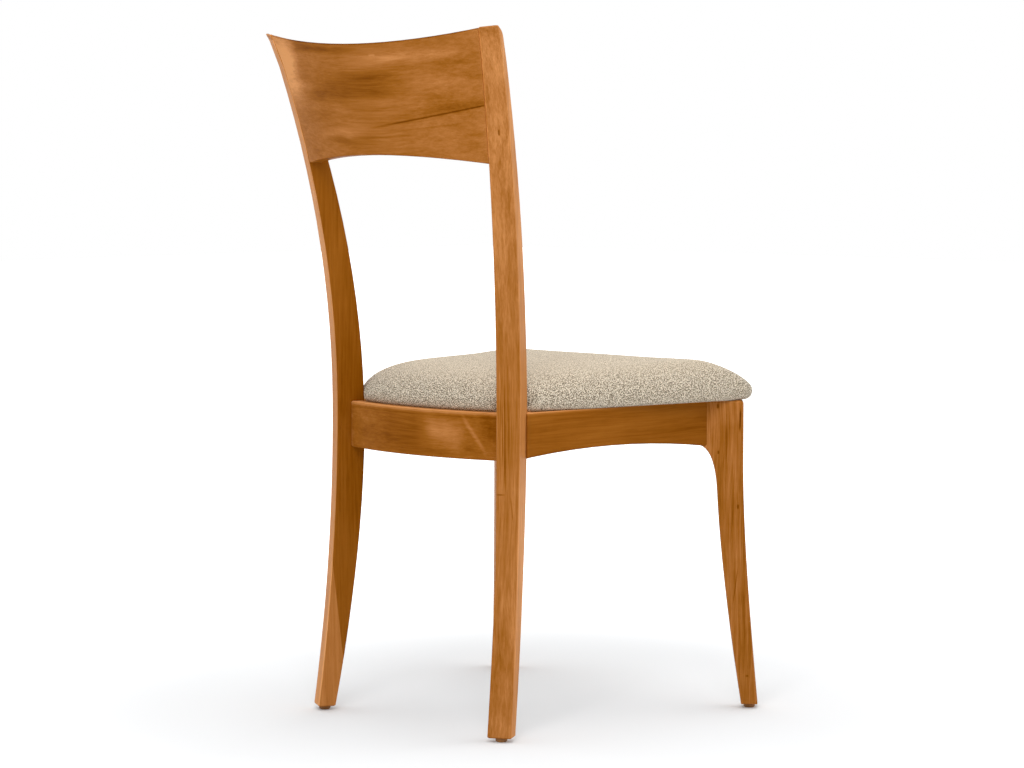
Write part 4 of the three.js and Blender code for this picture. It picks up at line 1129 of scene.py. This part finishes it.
# The floor, the light and the camera

WHITE = (1, 1, 1, 1)
FLOOR_HALF_SIZE = 14
FLOOR_COLOUR = (0.86, 0.86, 0.87, 1)

# What the camera sees of the floor: how much of its light it returns, and the glow that keeps it white,
# which is low where the shadow lies and rises with the distance from the chair
FLOOR_SEEN = (0.720, 0.732, 0.742, 1)
FLOOR_GLOWS = (0.1, 1.0)
FLOOR_GLOW_RANGE = (0.45, 1.5)

# The studio's even light, then its glows: azimuth, elevation, the cosine where each starts, and strength
STUDIO_EVEN = 0.16
STUDIO_GLOWS = [
    (0, 8, 0.15, 0.88),
    (258, 8, 0.1, 1.15),
    (0, 90, 0.2, 0.5),
]
GLOW_FULL = 0.95

# Softboxes, which look at the seat: azimuth, elevation, distance, width, height, watts
SOFTBOX_TARGET = Vector((0, 0, 0.45))
SOFTBOXES = {
    "key": (128, 36, 3.2, 1.6, 1.6, 43),
    "top": (200, 80, 2.6, 1.8, 1.8, 16),
}

# The camera, solved from the photograph
CAMERA_PLACE = (-3.06096, 3.11223, 0.79179)
CAMERA_TURN_DEGREES = 44.365
CAMERA_PITCH_DEGREES = 4.393
CAMERA_LENS = 110.34
CAMERA_SENSOR_WIDTH = 36
CAMERA_CLIP = (0.1, 100)


def seen_rays(tree):
    """The rays that show the background: the camera's, and those that are mirrored or let through."""
    path = tree.node("ShaderNodeLightPath").outputs
    mirrored = tree.larger(path["Is Glossy Ray"], path["Is Transmission Ray"])
    return tree.larger(path["Is Camera Ray"], mirrored)


def make_floor():
    """A pale floor that the camera sees as white, apart from the shadow."""
    mesh = bpy.data.meshes.new("floor")
    size = FLOOR_HALF_SIZE
    corners = [(-size, -size, 0), (size, -size, 0), (size, size, 0), (-size, size, 0)]
    mesh.from_pydata(corners, [], [(0, 1, 2, 3)])
    floor = bpy.data.objects.new("floor", mesh)
    bpy.context.scene.collection.objects.link(floor)
    made = bpy.data.materials.new("floor")
    made.use_nodes = True
    tree = Tree(made.node_tree)
    away = tree.vector_math("LENGTH", tree.scaled(tree.place(), (1, 1, 0)))["Value"]
    strength = tree.smooth(away, *FLOOR_GLOW_RANGE, *FLOOR_GLOWS)
    diffuse = tree.node("ShaderNodeBsdfDiffuse", {"Color": FLOOR_COLOUR}).outputs[0]
    dimmed = tree.node("ShaderNodeBsdfDiffuse", {"Color": FLOOR_SEEN}).outputs[0]
    glow = tree.node("ShaderNodeEmission", {"Color": WHITE, "Strength": strength}).outputs[0]
    shown = tree.node("ShaderNodeAddShader", {0: dimmed, 1: glow}).outputs[0]
    mixed = tree.node("ShaderNodeMixShader", {0: seen_rays(tree), 1: diffuse, 2: shown})
    tree.node("ShaderNodeOutputMaterial", {0: mixed.outputs[0]})
    mesh.materials.append(made)


def make_world():
    """A white studio that is brightest to the chair's left, in front of it and overhead."""
    world = bpy.data.worlds.new("studio")
    bpy.context.scene.world = world
    world.use_nodes = True
    tree = Tree(world.node_tree)
    direction = tree.node("ShaderNodeTexCoord").outputs["Generated"]
    bright = STUDIO_EVEN
    for azimuth, elevation, low, strength in STUDIO_GLOWS:
        cosine = tree.dot(direction, plan_direction(azimuth, elevation))
        bright = tree.add(bright, tree.times(tree.smooth(cosine, low, GLOW_FULL), strength))
    grey = tree.vector(bright, bright, bright)
    studio = tree.node("ShaderNodeBackground", {"Color": grey, "Strength": 1.0}).outputs[0]
    white = tree.node("ShaderNodeBackground", {"Color": WHITE, "Strength": 1.0}).outputs[0]
    mixed = tree.node("ShaderNodeMixShader", {0: seen_rays(tree), 1: studio, 2: white})
    tree.node("ShaderNodeOutputWorld", {0: mixed.outputs[0]})


def make_light(name, azimuth, elevation, distance, width, height, strength):
    away = plan_direction(azimuth, elevation)
    data = bpy.data.lights.new(name, "AREA")
    data.shape = "RECTANGLE"
    data.size, data.size_y = width, height
    data.energy = strength
    lamp = bpy.data.objects.new(name, data)
    lamp.location = SOFTBOX_TARGET + away * distance
    lamp.rotation_euler = (-away).to_track_quat("-Z", "Y").to_euler()
    bpy.context.scene.collection.objects.link(lamp)


def make_camera():
    data = bpy.data.cameras.new("camera")
    data.lens = CAMERA_LENS
    data.sensor_width = CAMERA_SENSOR_WIDTH
    data.clip_start, data.clip_end = CAMERA_CLIP
    camera = bpy.data.objects.new("camera", data)
    turn, pitch = math.radians(CAMERA_TURN_DEGREES), math.radians(CAMERA_PITCH_DEGREES)
    level = math.cos(pitch)
    forward = Vector((math.sin(turn) * level, -math.cos(turn) * level, -math.sin(pitch)))
    camera.location = CAMERA_PLACE
    camera.rotation_euler = forward.to_track_quat("-Z", "Y").to_euler()
    bpy.context.scene.collection.objects.link(camera)
    bpy.context.scene.camera = camera


make_floor()
make_world()
for light_name, light_sizes in SOFTBOXES.items():
    make_light(light_name, *light_sizes)
make_camera()
bpy.context.scene.view_settings.view_transform = "Standard"
